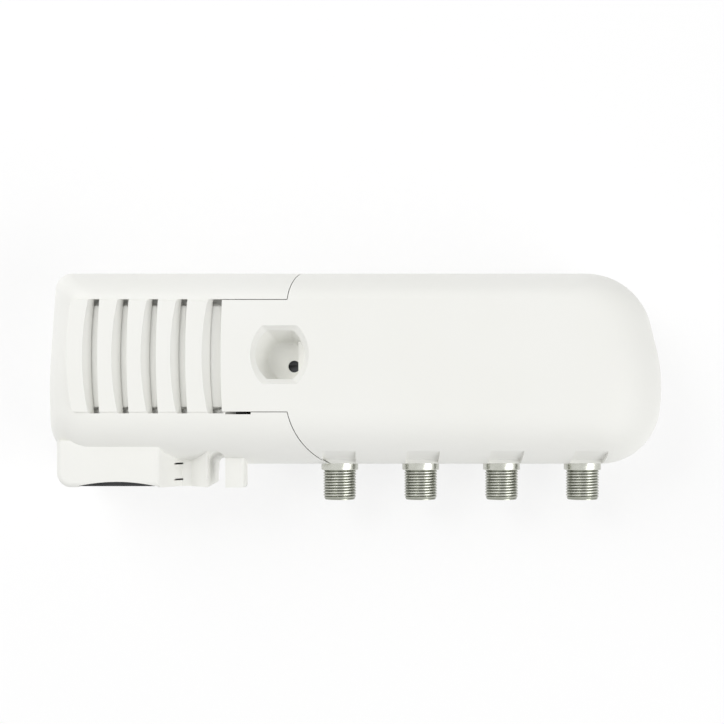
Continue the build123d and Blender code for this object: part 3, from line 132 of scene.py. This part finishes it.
@dataclass(frozen=True)
class Finish:
    """A solid finish: two close colours in soft patches, a fine grain in relief, a spread of gloss.

    Patches and grain are noise in the object's own millimetres. The patches drift between the two
    colours. The grain drifts between the two roughness values, and its height goes to the bump.

    Attributes:
        slot: the record's material slot that the finish is for.
        title: the material's name.
        colour: sRGB hex colour.
        tint: the second sRGB hex colour, which the patches drift to.
        patch: width of a patch.
        grain: width of a grain.
        relief: height of the grain.
        gloss: lowest and highest roughness.
        metallic: 1 for a metal.
        ior: index of refraction, used where the finish isn't a metal.
        lie: how the grain lies.
        coat: weight of a clear varnish.
        transmission: 1 for glass.
        stripe: distance from one stripe to the next, or 0 for none.
        stripe_colour: sRGB hex colour of the stripes.
        stripe_way: the axis along which the stripes follow each other.
        groove_shade_colour: sRGB hex colour of painted shade, laid where the piece's groove attribute
            is 1, or empty for none.
    """

    slot: str
    title: str
    colour: str
    tint: str
    patch: float
    grain: float
    relief: float
    gloss: tuple[float, float]
    metallic: float = 0.0
    ior: float = 1.5
    lie: Grain = Grain.EVEN
    coat: float = 0.0
    transmission: float = 0.0
    stripe: float = 0.0
    stripe_colour: str = ""
    stripe_way: StripeWay = StripeWay.Z
    groove_shade_colour: str = ""

    def material(self) -> bpy.types.Material:
        """Builds the finish's node tree.

        Returns:
            The new material.
        """
        material = bpy.data.materials.new(self.title)
        material.use_nodes = True
        tree = material.node_tree
        tree.nodes.clear()
        place = add_node(tree, "ShaderNodeTexCoord").outputs["Object"]
        patches = add_node(
            tree,
            "ShaderNodeTexNoise",
            {"Scale": 1 / (self.patch * MM), "Detail": 3.0, "Roughness": 0.55},
            {"Vector": place},
        ).outputs["Fac"]
        laid = add_node(tree, "ShaderNodeMapping", {"Scale": self.lie.value}, {"Vector": place})
        grain = add_node(
            tree,
            "ShaderNodeTexNoise",
            {"Scale": 1 / (self.grain * MM), "Detail": 2.0, "Roughness": 0.5},
            {"Vector": laid.outputs["Vector"]},
        ).outputs["Fac"]
        spread, roughness = (
            add_node(
                tree,
                "ShaderNodeMapRange",
                {"From Min": NOISE_LOW, "From Max": NOISE_HIGH, "To Min": least, "To Max": most},
                {"Value": noise},
            ).outputs["Result"]
            for noise, (least, most) in ((patches, (0.0, 1.0)), (grain, self.gloss))
        )
        colour = add_node(
            tree,
            "ShaderNodeMix",
            {"data_type": "RGBA", MIX_A: linear(self.colour), MIX_B: linear(self.tint)},
            {MIX_FACTOR: spread},
        ).outputs[MIX_RESULT]
        # Stripes: dark joints between stacked sheets, or painted shade between the turns of a
        # winding.
        if self.stripe:
            wave = add_node(
                tree,
                "ShaderNodeTexWave",
                {
                    "wave_type": "BANDS",
                    "bands_direction": self.stripe_way.value,
                    "Scale": 2 * math.pi / (WAVE_RATE * self.stripe * MM),
                    "Distortion": 0.0,
                },
                {"Vector": place},
            ).outputs["Fac"]
            colour = self.overlaid(tree, colour, self.stripe_colour, wave)
        # Painted shade: colour darkens a thread's grooves, following the piece's groove attribute.
        if self.groove_shade_colour:
            depth = add_node(tree, "ShaderNodeAttribute", {"attribute_name": "groove"})
            colour = self.overlaid(tree, colour, self.groove_shade_colour, depth.outputs["Fac"])
        bump = add_node(
            tree,
            "ShaderNodeBump",
            {"Strength": 1.0, "Distance": self.relief * MM},
            {"Height": grain},
        ).outputs["Normal"]
        settings = {
            "Metallic": self.metallic,
            "Coat Weight": self.coat,
            "Coat Roughness": 0.1,
            "Transmission Weight": self.transmission,
        }
        if not self.metallic:
            settings["IOR"] = self.ior
        shader = add_node(
            tree,
            "ShaderNodeBsdfPrincipled",
            settings,
            {"Base Color": colour, "Roughness": roughness, "Normal": bump},
        ).outputs["BSDF"]
        add_node(tree, "ShaderNodeOutputMaterial", links={"Surface": shader})
        return material

    @staticmethod
    def overlaid(
        tree: bpy.types.NodeTree,
        under: bpy.types.NodeSocket,
        over: str,
        share: bpy.types.NodeSocket,
    ) -> bpy.types.NodeSocket:
        """Lays a second colour over a first where a pattern says so.

        Args:
            tree: node tree of the finish.
            under: socket with the first colour.
            over: sRGB hex colour that is laid over it.
            share: socket with how much of it shows, from 0 to 1.

        Returns:
            The socket with the mixed colour.
        """
        return add_node(
            tree,
            "ShaderNodeMix",
            {"data_type": "RGBA", MIX_B: linear(over)},
            {MIX_FACTOR: share, MIX_A: under},
        ).outputs[MIX_RESULT]


# The real grain of these surfaces is mostly under 0.1 mm, too fine to show in the render, so it is
# drawn several times as coarse.
FINISHES = (
    # ABS, injection moulded in a spark-eroded mould: warm white and satin, with a faint even grain.
    Finish(
        "abs_case", "white_moulded_abs", "F2F2EE", "F0F0EB",
        patch=40, grain=0.45, relief=0.005, gloss=(0.47, 0.57),
    ),
    # Steel, zinc plated and passivated: bright grey with a faint blue and yellow drift.
    Finish(
        "zinc_plated_steel", "zinc_plated_steel", "C6CACF", "CFCBBE",
        patch=3, grain=0.3, relief=0.004, gloss=(0.28, 0.42), metallic=1.0,
    ),
    # Glass-filled nylon, moulded: black with a dull, slightly cloudy skin.
    Finish(
        "black_nylon", "black_moulded_nylon", "17181A", "1F2022",
        patch=5, grain=0.35, relief=0.012, gloss=(0.38, 0.55), ior=1.53,
    ),
    # Brass, nickel plated: warm grey and bright.
    Finish(
        "nickel_plated_brass", "nickel_plated_brass", "C9C3B6", "BFB9AB",
        patch=2, grain=0.2, relief=0.002, gloss=(0.16, 0.28), metallic=1.0,
    ),
    # Phenolic paper laminate, pressed: toffee brown with a cloudy core.
    Finish(
        "paper_laminate", "pressed_paper_laminate", "A5753B", "94652F",
        patch=6, grain=0.5, relief=0.006, gloss=(0.35, 0.5), ior=1.55,
    ),
    # Glass cloth and epoxy with solder mask: green and glossy, slightly uneven over the cloth.
    Finish(
        "glass_epoxy", "masked_glass_epoxy", "1D5B34", "226A3D",
        patch=8, grain=0.6, relief=0.005, gloss=(0.2, 0.32), coat=0.3,
    ),
    # Silicon steel, stamped and stacked: dark grey sheets with a varnish gloss.
    Finish(
        "silicon_steel", "stacked_silicon_steel", "5C5F63", "676A6C",
        patch=4, grain=0.4, relief=0.01, gloss=(0.35, 0.5), metallic=1.0,
        stripe=0.5, stripe_colour="2E3033", stripe_way=StripeWay.Y,
    ),
    # Copper wire, enamelled and wound: amber red under a clear varnish, with painted shade in stripes
    # between turns.
    Finish(
        "wound_copper", "enamelled_copper_wire", "A4501F", "B5602A",
        patch=2, grain=0.3, relief=0.006, gloss=(0.22, 0.34), metallic=1.0,
        coat=0.6, stripe=0.35, stripe_colour="6E2F10",
    ),
    # Glass, drawn tube: clear with a faint green.
    Finish(
        "fuse_tube", "drawn_glass_tube", "E8F2EE", "E4EFEA",
        patch=5, grain=1.0, relief=0.0, gloss=(0.02, 0.05), transmission=1.0,
    ),
    # Steel, tinned: soft bright grey with the tin's cloudy patches.
    Finish(
        "tinned_steel", "tinned_steel", "C9CACB", "B9BBBD",
        patch=5, grain=0.5, relief=0.004, gloss=(0.24, 0.4), metallic=1.0,
    ),
    # Epoxy-filled polyester box, moulded: yellow ochre with a slightly waxy gloss.
    Finish(
        "epoxy_box", "moulded_polyester_box", "D8A92C", "CFA028",
        patch=4, grain=0.4, relief=0.006, gloss=(0.3, 0.45),
    ),
    # Aluminium can in a shrunk sleeve: dark blue and glossy.
    Finish(
        "sleeved_can", "shrunk_pvc_sleeve", "1B2A4A", "203257",
        patch=6, grain=0.5, relief=0.004, gloss=(0.22, 0.34), ior=1.54,
    ),
    # Epoxy, transfer moulded: charcoal and matt.
    Finish(
        "black_epoxy", "moulded_black_epoxy", "232426", "2B2C2E",
        patch=2, grain=0.25, relief=0.01, gloss=(0.5, 0.68), ior=1.55,
    ),
    # Aluminium sheet, cold rolled: pale grey with fine lines along the rolling.
    Finish(
        "aluminium_sheet", "rolled_aluminium_sheet", "D2D3D4", "C8C9CB",
        patch=6, grain=0.3, relief=0.004, gloss=(0.3, 0.42), metallic=1.0, lie=Grain.ALONG_X,
    ),
    # Zinc alloy, pressure die-cast and nickel plated: satin grey with a slight green.
    Finish(
        "zinc_casting", "nickel_plated_zinc", "CFCFC8", "C4C4BC",
        patch=3, grain=0.35, relief=0.006, gloss=(0.24, 0.38), metallic=1.0,
    ),
    # Ferrite, pressed and sintered: near black, dry and finely pitted.
    Finish(
        "ferrite", "sintered_ferrite", "2A2829", "353234",
        patch=1.5, grain=0.25, relief=0.02, gloss=(0.55, 0.75), ior=2.3,
    ),
    # PBT, moulded: bright blue with a soft gloss.
    Finish(
        "blue_plastic", "blue_moulded_pbt", "2B5FA8", "2F66B2",
        patch=3, grain=0.3, relief=0.006, gloss=(0.32, 0.46), ior=1.55,
    ),
    # Nylon, moulded: dark grey and dull.
    Finish(
        "grey_nylon", "grey_moulded_nylon", "3A3C40", "43454A",
        patch=2, grain=0.25, relief=0.008, gloss=(0.4, 0.55), ior=1.53,
    ),
    # PTFE, turned: milky white and waxy.
    Finish(
        "white_polymer", "turned_ptfe", "EDEDE8", "E7E7E1",
        patch=3, grain=0.3, relief=0.006, gloss=(0.4, 0.55), ior=1.38,
    ),
)

# Zinc alloy, die-cast, threaded and nickel plated: bright grey, with painted shade in grey-green
# down in the grooves.
THREADED_ZINC = Finish(
    "zinc_casting", "threaded_plated_zinc", "CDCEC6", "BEBFB6",
    patch=2.5, grain=0.3, relief=0.006, gloss=(0.2, 0.34), metallic=1.0, groove_shade_colour="85887C",
)


# ---------------------------------------------------------------- Meshes


def weld(points: np.ndarray, faces: np.ndarray) -> tuple[np.ndarray, list[list[int]]]:
    """Joins points that share a place and drops the faces' repeated corners.

    Args:
        points: places in metres, one row each.
        faces: corner numbers, one row of three or four for each face.

    Returns:
        The joined points, and the faces as lists of three or four corner numbers.
    """
    keys = np.round(points * JOIN_GRID).astype(np.int64)
    _, first, inverse = np.unique(keys, axis=0, return_index=True, return_inverse=True)
    corners = inverse.reshape(-1)[faces]
    kept = corners != np.roll(corners, -1, axis=1)
    counts = kept.sum(axis=1)
    joined: list[list[int]] = []
    for count in (3, 4):
        rows = counts == count
        if rows.any():
            joined += corners[rows][kept[rows]].reshape(-1, count).tolist()
    return points[first], joined


def piece(
    title: str, points: np.ndarray, faces: np.ndarray, crease: float = 35.0
) -> bpy.types.Object:
    """Makes a piece from points and faces, smooth except where it bends sharply.

    Args:
        title: name of the new object.
        points: places in metres, one row each.
        faces: corner numbers, one row for each face.
        crease: angle in degrees above which an edge stays sharp.

    Returns:
        The new object, linked to the scene.
    """
    joined, corners = weld(points, faces)
    mesh = bpy.data.meshes.new(title)
    mesh.from_pydata(joined.tolist(), [], corners)
    mesh.validate()
    mesh.shade_smooth()
    mesh.set_sharp_from_angle(angle=math.radians(crease))
    built = bpy.data.objects.new(title, mesh)
    bpy.context.scene.collection.objects.link(built)
    return built


def grid_faces(
    rows: int, columns: int, close_rows: bool = False, close_columns: bool = False
) -> np.ndarray:
    """Numbers the four corners of every cell of a grid of points.

    Args:
        rows: number of rows of points.
        columns: number of points in a row.
        close_rows: whether the last row joins the first.
        close_columns: whether each row's last point joins its first.

    Returns:
        One row of four corner numbers for each cell.
    """
    row = np.arange(rows if close_rows else rows - 1)[:, None]
    column = np.arange(columns if close_columns else columns - 1)[None, :]
    next_row = (row + 1) % rows
    next_column = (column + 1) % columns
    corners = (
        row * columns + column,
        row * columns + next_column,
        next_row * columns + next_column,
        next_row * columns + column,
    )
    cells = [np.broadcast_to(corner, (row.size, column.size)) for corner in corners]
    return np.stack(cells, axis=-1).reshape(-1, 4)


def dress(bare: bpy.types.Object, material: bpy.types.Material) -> None:
    """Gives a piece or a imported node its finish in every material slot.

    Args:
        bare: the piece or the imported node's object.
        material: its finish.
    """
    if not bare.material_slots:
        bare.data.materials.append(material)
    for row in bare.material_slots:
        row.material = material


# ---------------------------------------------------------------- Stage


@dataclass(frozen=True)
class Lamp:
    """A soft square lamp that points at the part's middle.

    Attributes:
        title: its name.
        place: its place in metres.
        size: its width in metres.
        watts: its power.
    """

    title: str
    place: tuple[float, float, float]
    size: float
    watts: float

    def hang(self) -> None:
        """Hangs the lamp in the scene."""
        light = bpy.data.lights.new(self.title, "AREA")
        light.shape = "SQUARE"
        light.size = self.size
        light.energy = self.watts
        lamp = bpy.data.objects.new(self.title, light)
        lamp.location = self.place
        lamp.rotation_euler = (-Vector(self.place)).to_track_quat("-Z", "Y").to_euler()
        bpy.context.scene.collection.objects.link(lamp)


@dataclass
class Stage:
    """Pale floor under the part, soft lamps, a plain world and the camera.

    Attributes:
        floor_half: half the floor's width.
        floor_drop: how far the floor lies below the part's back.
        floor_white: share of plain white that the camera sees in the floor near the part.
        fade: distances from the part between which that share rises to all of it.
        camera_place: the camera's place, straight above the front plate.
        lens: focal length.
        shift_up: the camera's vertical shift, as a share of the picture's width.
        clip_start: nearest distance that the camera sees, in metres.
        world_level: strength of the world's even light.
        lamps: the three lamps.
    """

    floor_half: float = 20000.0
    floor_drop: float = 0.3
    floor_white: float = 0.72
    fade: tuple[float, float] = (400.0, 1100.0)
    camera_place: tuple[float, float, float] = (1.58, -8.87, 462.0)
    lens: float = 77.1
    shift_up: float = 0.0525
    clip_start: float = 0.01
    world_level: float = 0.46
    lamps: tuple[Lamp, ...] = (
        Lamp("left_lamp", (-0.75, 0.55, 0.8), size=0.9, watts=5.8),
        Lamp("right_lamp", (0.85, -0.45, 0.8), size=0.9, watts=6.3),
        Lamp("gloss_lamp", (-0.38, 0.30, 0.9), size=0.28, watts=1.0),
    )

    @staticmethod
    def white_to_camera(
        tree: bpy.types.NodeTree,
        shader: bpy.types.NodeSocket,
        kind: str,
        share: bpy.types.NodeSocket | None = None,
    ) -> bpy.types.NodeSocket:
        """Shows white to camera, glossy and transmission rays in place of a share of a shader.

        Args:
            tree: node tree of the floor or the world.
            shader: socket with the shader that every other ray sees.
            kind: Blender's name of the node type that gives the white.
            share: socket with the share of white those rays see, or None for all of it.

        Returns:
            The socket with the mixed shader.
        """
        path = add_node(tree, "ShaderNodeLightPath").outputs
        seen = path["Is Camera Ray"]
        for ray in ("Is Glossy Ray", "Is Transmission Ray"):
            either = {0: seen, 1: path[ray]}
            seen = add_node(tree, "ShaderNodeMath", {"operation": "MAXIMUM"}, either).outputs[0]
        if share is not None:
            both = {0: seen, 1: share}
            seen = add_node(tree, "ShaderNodeMath", {"operation": "MULTIPLY"}, both).outputs[0]
        white = add_node(tree, kind, {"Color": (1, 1, 1, 1), "Strength": 1.0}).outputs[0]
        mixed = add_node(tree, "ShaderNodeMixShader", links={0: seen, 1: shader, 2: white})
        return mixed.outputs[0]

    def world(self) -> None:
        """Sets an even world that lights the part and shows white behind it."""
        world = bpy.data.worlds.new("pale_studio")
        world.use_nodes = True
        bpy.context.scene.world = world
        tree = world.node_tree
        tree.nodes.clear()
        level = {"Color": linear("FFFFFF"), "Strength": self.world_level}
        even = add_node(tree, "ShaderNodeBackground", level).outputs[0]
        white = self.white_to_camera(tree, even, "ShaderNodeBackground")
        add_node(tree, "ShaderNodeOutputWorld", links={"Surface": white})

    def floor(self) -> None:
        """Lays the pale floor that the part's back rests on."""
        half = self.floor_half * MM
        across = np.array([(-half, -half), (half, -half), (half, half), (-half, half)])
        points = np.column_stack([across, np.full(4, -self.floor_drop * MM)])
        floor = piece("floor", points, np.array([[0, 1, 2, 3]]))
        paint = bpy.data.materials.new("pale_floor")
        paint.use_nodes = True
        tree = paint.node_tree
        tree.nodes.clear()
        matt = {"Base Color": linear("FFFFFF"), "Roughness": 0.9}
        shader = add_node(tree, "ShaderNodeBsdfPrincipled", matt).outputs["BSDF"]
        # Far from the part, where the lamps no longer reach, the floor fades to the world's white.
        place = add_node(tree, "ShaderNodeTexCoord").outputs["Object"]
        away = add_node(tree, "ShaderNodeVectorMath", {"operation": "LENGTH"}, {0: place})
        near, far = (reach * MM for reach in self.fade)
        share = add_node(
            tree,
            "ShaderNodeMapRange",
            {"From Min": near, "From Max": far, "To Min": self.floor_white, "To Max": 1.0},
            {"Value": away.outputs["Value"]},
        ).outputs["Result"]
        white = self.white_to_camera(tree, shader, "ShaderNodeEmission", share)
        add_node(tree, "ShaderNodeOutputMaterial", links={"Surface": white})
        dress(floor, paint)

    def camera(self) -> None:
        """Sets the camera square to the front plate, at the photograph's distance."""
        data = bpy.data.cameras.new("front_camera")
        data.lens = self.lens
        data.shift_y = self.shift_up
        data.clip_start = self.clip_start
        camera = bpy.data.objects.new("front_camera", data)
        camera.location = Vector(self.camera_place) * MM
        bpy.context.scene.collection.objects.link(camera)
        bpy.context.scene.camera = camera

    def build(self) -> None:
        """Builds the whole stage."""
        self.world()
        self.floor()
        for lamp in self.lamps:
            lamp.hang()
        self.camera()
        bpy.context.scene.view_settings.view_transform = "Standard"


# ---------------------------------------------------------------- Case


@dataclass
class VentRibs:
    """Raised ribs on the vent baffle, one under each louvre, so that no straight gap leads inside.

    Each rib is a grid: one parameter runs along the rib, whose middle line bows as a parabola, and
    the other runs round its section, a superellipse that gives a flat crown with rounded edges. A
    second superellipse, of the place along the rib, closes its ends.

    Attributes:
        lefts: X of each louvre's left edge.
        widths: each louvre's width.
        low: Y of the ribs' lower ends.
        high: Y of their upper ends.
        sheet: thickness of the baffle's sheet.
        bow: how far the middle line bows.
        margin: how far a rib reaches past its louvre on each side.
        height: how far its crown stands above the sheet.
        sunk: how far its underside lies in the sheet, as a share of the height.
        squareness: power of the section's superellipse.
        end_squareness: power of the superellipse that closes the ends.
        rows: number of points along a rib.
        columns: number of points round its section.
    """

    lefts: tuple[float, ...] = (-74.3, -66.35, -58.4, -50.45, -41.9)
    widths: tuple[float, ...] = (4.1, 4.1, 4.1, 4.1, 5.3)
    low: float = -12.0
    high: float = 18.0
    sheet: float = 1.2
    bow: float = 0.6
    margin: float = 0.9
    height: float = 1.5
    sunk: float = 0.25
    squareness: float = 5.0
    end_squareness: int = 12
    rows: int = 24
    columns: int = 28

    def rib(self, left: float, width: float, base: float) -> tuple[np.ndarray, np.ndarray]:
        """Works out one rib.

        Args:
            left: X of its louvre's left edge.
            width: its louvre's width.
            base: Z of the baffle's upper face.

        Returns:
            The rib's points in millimetres and its faces.
        """
        along = np.linspace(-1.0, 1.0, self.rows)[:, None]
        turn = np.linspace(0.0, 2 * math.pi, self.columns, endpoint=False)[None, :]
        power = 2 / self.squareness
        across = np.sign(np.cos(turn)) * np.abs(np.cos(turn)) ** power
        upward = np.sign(np.sin(turn)) * np.abs(np.sin(turn)) ** power
        taper = (1 - np.abs(along) ** self.end_squareness) ** (1 / self.end_squareness)
        half = width / 2 + self.margin
        x = left + width / 2 + self.bow * (1 - 2 * along**2) / 2 + half * across * taper
        y = (self.low + self.high) / 2 + (self.high - self.low) / 2 * along + 0 * turn
        z = np.maximum(base + self.height * upward * taper, base - self.height * self.sunk)
        points = np.stack([x, y, z], axis=-1).reshape(-1, 3)
        return points, grid_faces(self.rows, self.columns, close_columns=True)[:, ::-1]

    def build(self, finishes: dict[str, bpy.types.Material]) -> None:
        """Builds the ribs as one piece on the baffle.

        Args:
            finishes: material of each slot.
        """
        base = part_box("vent_baffle")[0].z / MM + self.sheet
        ribs = [self.rib(left, width, base) for left, width in zip(self.lefts, self.widths)]
        offsets = np.cumsum([0] + [len(points) for points, _ in ribs[:-1]])
        points = np.vstack([points for points, _ in ribs])
        faces = np.vstack([faces + offset for (_, faces), offset in zip(ribs, offsets)])
        joined = piece("vent_ribs", points * MM, faces)
        dress(joined, finishes["abs_case"])
        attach(joined, Body.CASE.value)
        log.info("built %s", joined.name)


# ---------------------------------------------------------------- Sockets


@dataclass
class CoaxialSocket:
    """One threaded coaxial socket that points down out of the case.

    The body is one closed surface: a profile of radius against place along the axis, turned about
    the axis. Over the thread the radius falls from the crest by the thread's depth, as a flat-topped
    zigzag of the place along the axis plus one pitch for each turn, which makes the helix.

    Attributes:
        number: which socket it is, from left to right.
        thread_diameter: diameter over the crests.
        thread_depth: depth of the grooves.
        pitch: distance from one crest to the next.
        crest_share: share of the pitch that is flat crest.
        flank_share: share of the pitch that each flank takes.
        thread_length: from the socket's end to the end of the thread.
        undercut: plain groove between the thread and the collar.
        bore: diameter of the hole for the insulator.
        chamfer: size of the chamfers.
        spigot: diameter of the stub that goes through the chassis.
        thread_steps: number of points along the thread.
        angle_steps: number of points round the axis.
        crease: angle in degrees above which an edge stays sharp.
    """

    number: int
    thread_diameter: float = 9.4
    thread_depth: float = 0.4
    pitch: float = 0.794
    crest_share: float = 0.375
    flank_share: float = 0.25
    thread_length: float = 8.2
    undercut: float = 0.3
    bore: float = 6.0
    chamfer: float = 0.25
    spigot: float = 7.0
    thread_steps: int = 180
    angle_steps: int = 96
    crease: float = 50.0

    def body(self) -> bpy.types.Object:
        """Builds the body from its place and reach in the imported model.

        Returns:
            The new piece.
        """
        low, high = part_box(f"socket_body_{self.number}")
        axis_x, axis_z = (low.x + high.x) / 2 / MM, (low.z + high.z) / 2 / MM
        end, root = low.y / MM, high.y / MM
        crest = self.thread_diameter / 2
        groove = crest - self.thread_depth
        bore, spigot, bevel = self.bore / 2, self.spigot / 2, self.chamfer
        # The collar's edges are only broken, by a third of the chamfer.
        broken = bevel / 3
        collar = (high.x - low.x) / 2 / MM
        collar_low = end + self.thread_length + self.undercut
        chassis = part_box("screening_chassis")[0].y / MM
        inside = [
            (root, spigot),
            (root, bore),
            (end + bevel, bore),
            (end, bore + bevel),
            (end, crest - 2 * bevel),
        ]
        thread_y = np.linspace(end + bevel, end + self.thread_length, self.thread_steps)
        outside = np.column_stack([thread_y, np.full(thread_y.size, crest)])
        top = [
            (collar_low - bevel / 5, groove),
            (collar_low, groove),
            (collar_low, collar - bevel),
            (collar_low + broken, collar - broken),
            (collar_low + bevel, collar),
            (chassis - broken, collar),
            (chassis, collar - broken),
            (chassis, spigot),
        ]
        profile = np.vstack([inside, outside, top])
        angle = np.linspace(0, 2 * math.pi, self.angle_steps, endpoint=False)[None, :]
        along = profile[:, 0][:, None] + 0 * angle
        radius = profile[:, 1][:, None] + 0 * angle
        thread = slice(len(inside), len(inside) + len(outside))
        # The place within a pitch runs from 0 to 1 with the middle of a crest at both ends.
        place = (along[thread] / self.pitch + angle / (2 * math.pi)) % 1.0
        off_crest = 0.5 - np.abs(place - 0.5)
        zigzag = np.clip((off_crest - self.crest_share / 2) / self.flank_share, 0.0, 1.0)
        lead_in = np.clip(1 - (along[thread] - end - bevel) / self.pitch, 0.0, 1.0)
        radius[thread] -= self.thread_depth * np.maximum(zigzag, lead_in)
        places = [axis_x + radius * np.cos(angle), along, axis_z + radius * np.sin(angle)]
        points = np.stack(places, axis=-1).reshape(-1, 3)
        faces = grid_faces(len(profile), self.angle_steps, close_rows=True, close_columns=True)
        body = piece(f"threaded_socket_{self.number}", points * MM, faces[:, ::-1], self.crease)
        self.paint_groove_shade(body, (axis_x, axis_z), (end, collar_low))
        return body

    def paint_groove_shade(
        self, body: bpy.types.Object, axis: tuple[float, float], span: tuple[float, float]
    ) -> None:
        """Marks how deep in the thread each point lies, 0 on a crest and 1 in a groove, for the
        painted shade in the grooves.

        Args:
            body: the socket's body.
            axis: X and Z of the socket's axis.
            span: Y of the socket's end and of the collar.
        """
        points = np.empty(len(body.data.vertices) * 3)
        body.data.vertices.foreach_get("co", points)
        x, y, z = (points.reshape(-1, 3) / MM).T
        radius = np.hypot(x - axis[0], z - axis[1])
        depth = np.clip((self.thread_diameter / 2 - radius) / self.thread_depth, 0.0, 1.0)
        depth[(y < span[0] + self.chamfer) | (y > span[1] - self.chamfer / 6)] = 0.0
        groove = body.data.attributes.new("groove", "FLOAT", "POINT")
        groove.data.foreach_set("value", depth)

    def build(self, finish: bpy.types.Material) -> None:
        """Builds the socket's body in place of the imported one.

        Args:
            finish: material of the threaded body.
        """
        body = self.body()
        dress(body, finish)
        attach(body, Body.CASE.value)
        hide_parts(f"socket_body_{self.number}")
        log.info("built %s", body.name)


# ---------------------------------------------------------------- Mains transformer


@dataclass
class Winding:
    """One of the transformer's two windings, with its outer turns showing as rounded wires.

    The surface runs round the limb at a distance given by the section. A point's place round the
    limb is a direction: the limb's corner that lies that way, plus the distance times the direction.
    The section is a rectangle whose outer side waves in and out by half a wire for every turn.

    Attributes:
        node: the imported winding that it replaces.
        wire: diameter of the wire.
        limb: width along X and Y of the limb that it is wound on.
        inner: gap between the limb and the innermost turn.
        turn_steps: number of points for each turn of the section.
        corner_steps: number of points round each corner of the limb.
    """

    node: str
    wire: float
    limb: tuple[float, float] = (10.0, 12.0)
    inner: float = 0.8
    turn_steps: int = 6
    corner_steps: int = 8

    def section(self, reach: float, low: float, high: float) -> np.ndarray:
        """Works out the section's distance from the limb and its height, point by point.

        Args:
            reach: distance from the limb to the crown of the outer wires.
            low: lowest Z of the winding.
            high: highest Z of the winding.

        Returns:
            One row of distance and height for each point of the closed section.
        """
        turns = round((high - low) / self.wire)
        height = np.linspace(low, high, turns * self.turn_steps + 1)
        phase = (height - low) / (high - low) * turns
        bulge = np.sqrt(1 - (2 * (phase % 1.0) - 1) ** 2)
        outer = np.column_stack([reach - self.wire / 2 * (1 - bulge), height])
        return np.vstack([[(self.inner, high), (self.inner, low)], outer])

    def build(self, finishes: dict[str, bpy.types.Material]) -> None:
        """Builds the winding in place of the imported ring.

        Args:
            finishes: material of each slot.
        """
        low, high = (np.array(corner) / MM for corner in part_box(self.node))
        middle = (low + high) / 2
        reach = (high[0] - low[0] - self.limb[0]) / 2
        section = self.section(reach, low[2], high[2])
        quarter = np.linspace(0.0, math.pi / 2, self.corner_steps)
        angle = np.concatenate([quarter + corner * math.pi / 2 for corner in range(4)])[None, :]
        way = (np.repeat(np.arange(4), self.corner_steps) + 0.5)[None, :] * math.pi / 2
        out = section[:, :1]
        x = middle[0] + np.sign(np.cos(way)) * self.limb[0] / 2 + out * np.cos(angle)
        y = middle[1] + np.sign(np.sin(way)) * self.limb[1] / 2 + out * np.sin(angle)
        z = section[:, 1:] + 0 * angle
        points = np.stack([x, y, z], axis=-1).reshape(-1, 3)
        faces = grid_faces(len(section), angle.size, close_rows=True, close_columns=True)
        winding = piece(self.node + "_turns", points * MM, faces)
        dress(winding, finishes["wound_copper"])
        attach(winding, Body.CASE.value)
        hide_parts(self.node)
        log.info("built %s", winding.name)


# ---------------------------------------------------------------- Whole part


def main() -> None:
    """Builds every sub-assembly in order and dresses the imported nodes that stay."""
    logging.basicConfig(level=logging.INFO, format="%(name)s: %(message)s")
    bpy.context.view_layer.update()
    Stage().build()
    finishes = {finish.slot: finish.material() for finish in FINISHES}
    for row in frame["record"]["subparts"]:
        dress(frame["nodes"][row["node"]], finishes[row["material_slot"]])
        log.info("dressed %s", row["node"])
    VentRibs().build(finishes)
    threaded_zinc = THREADED_ZINC.material()
    for number in SOCKETS:
        CoaxialSocket(number).build(threaded_zinc)
    for winding in (
        Winding("mains_winding", wire=0.22),
        Winding("low_voltage_winding", wire=0.55),
    ):
        winding.build(finishes)


if __name__ == "__main__":
    main()
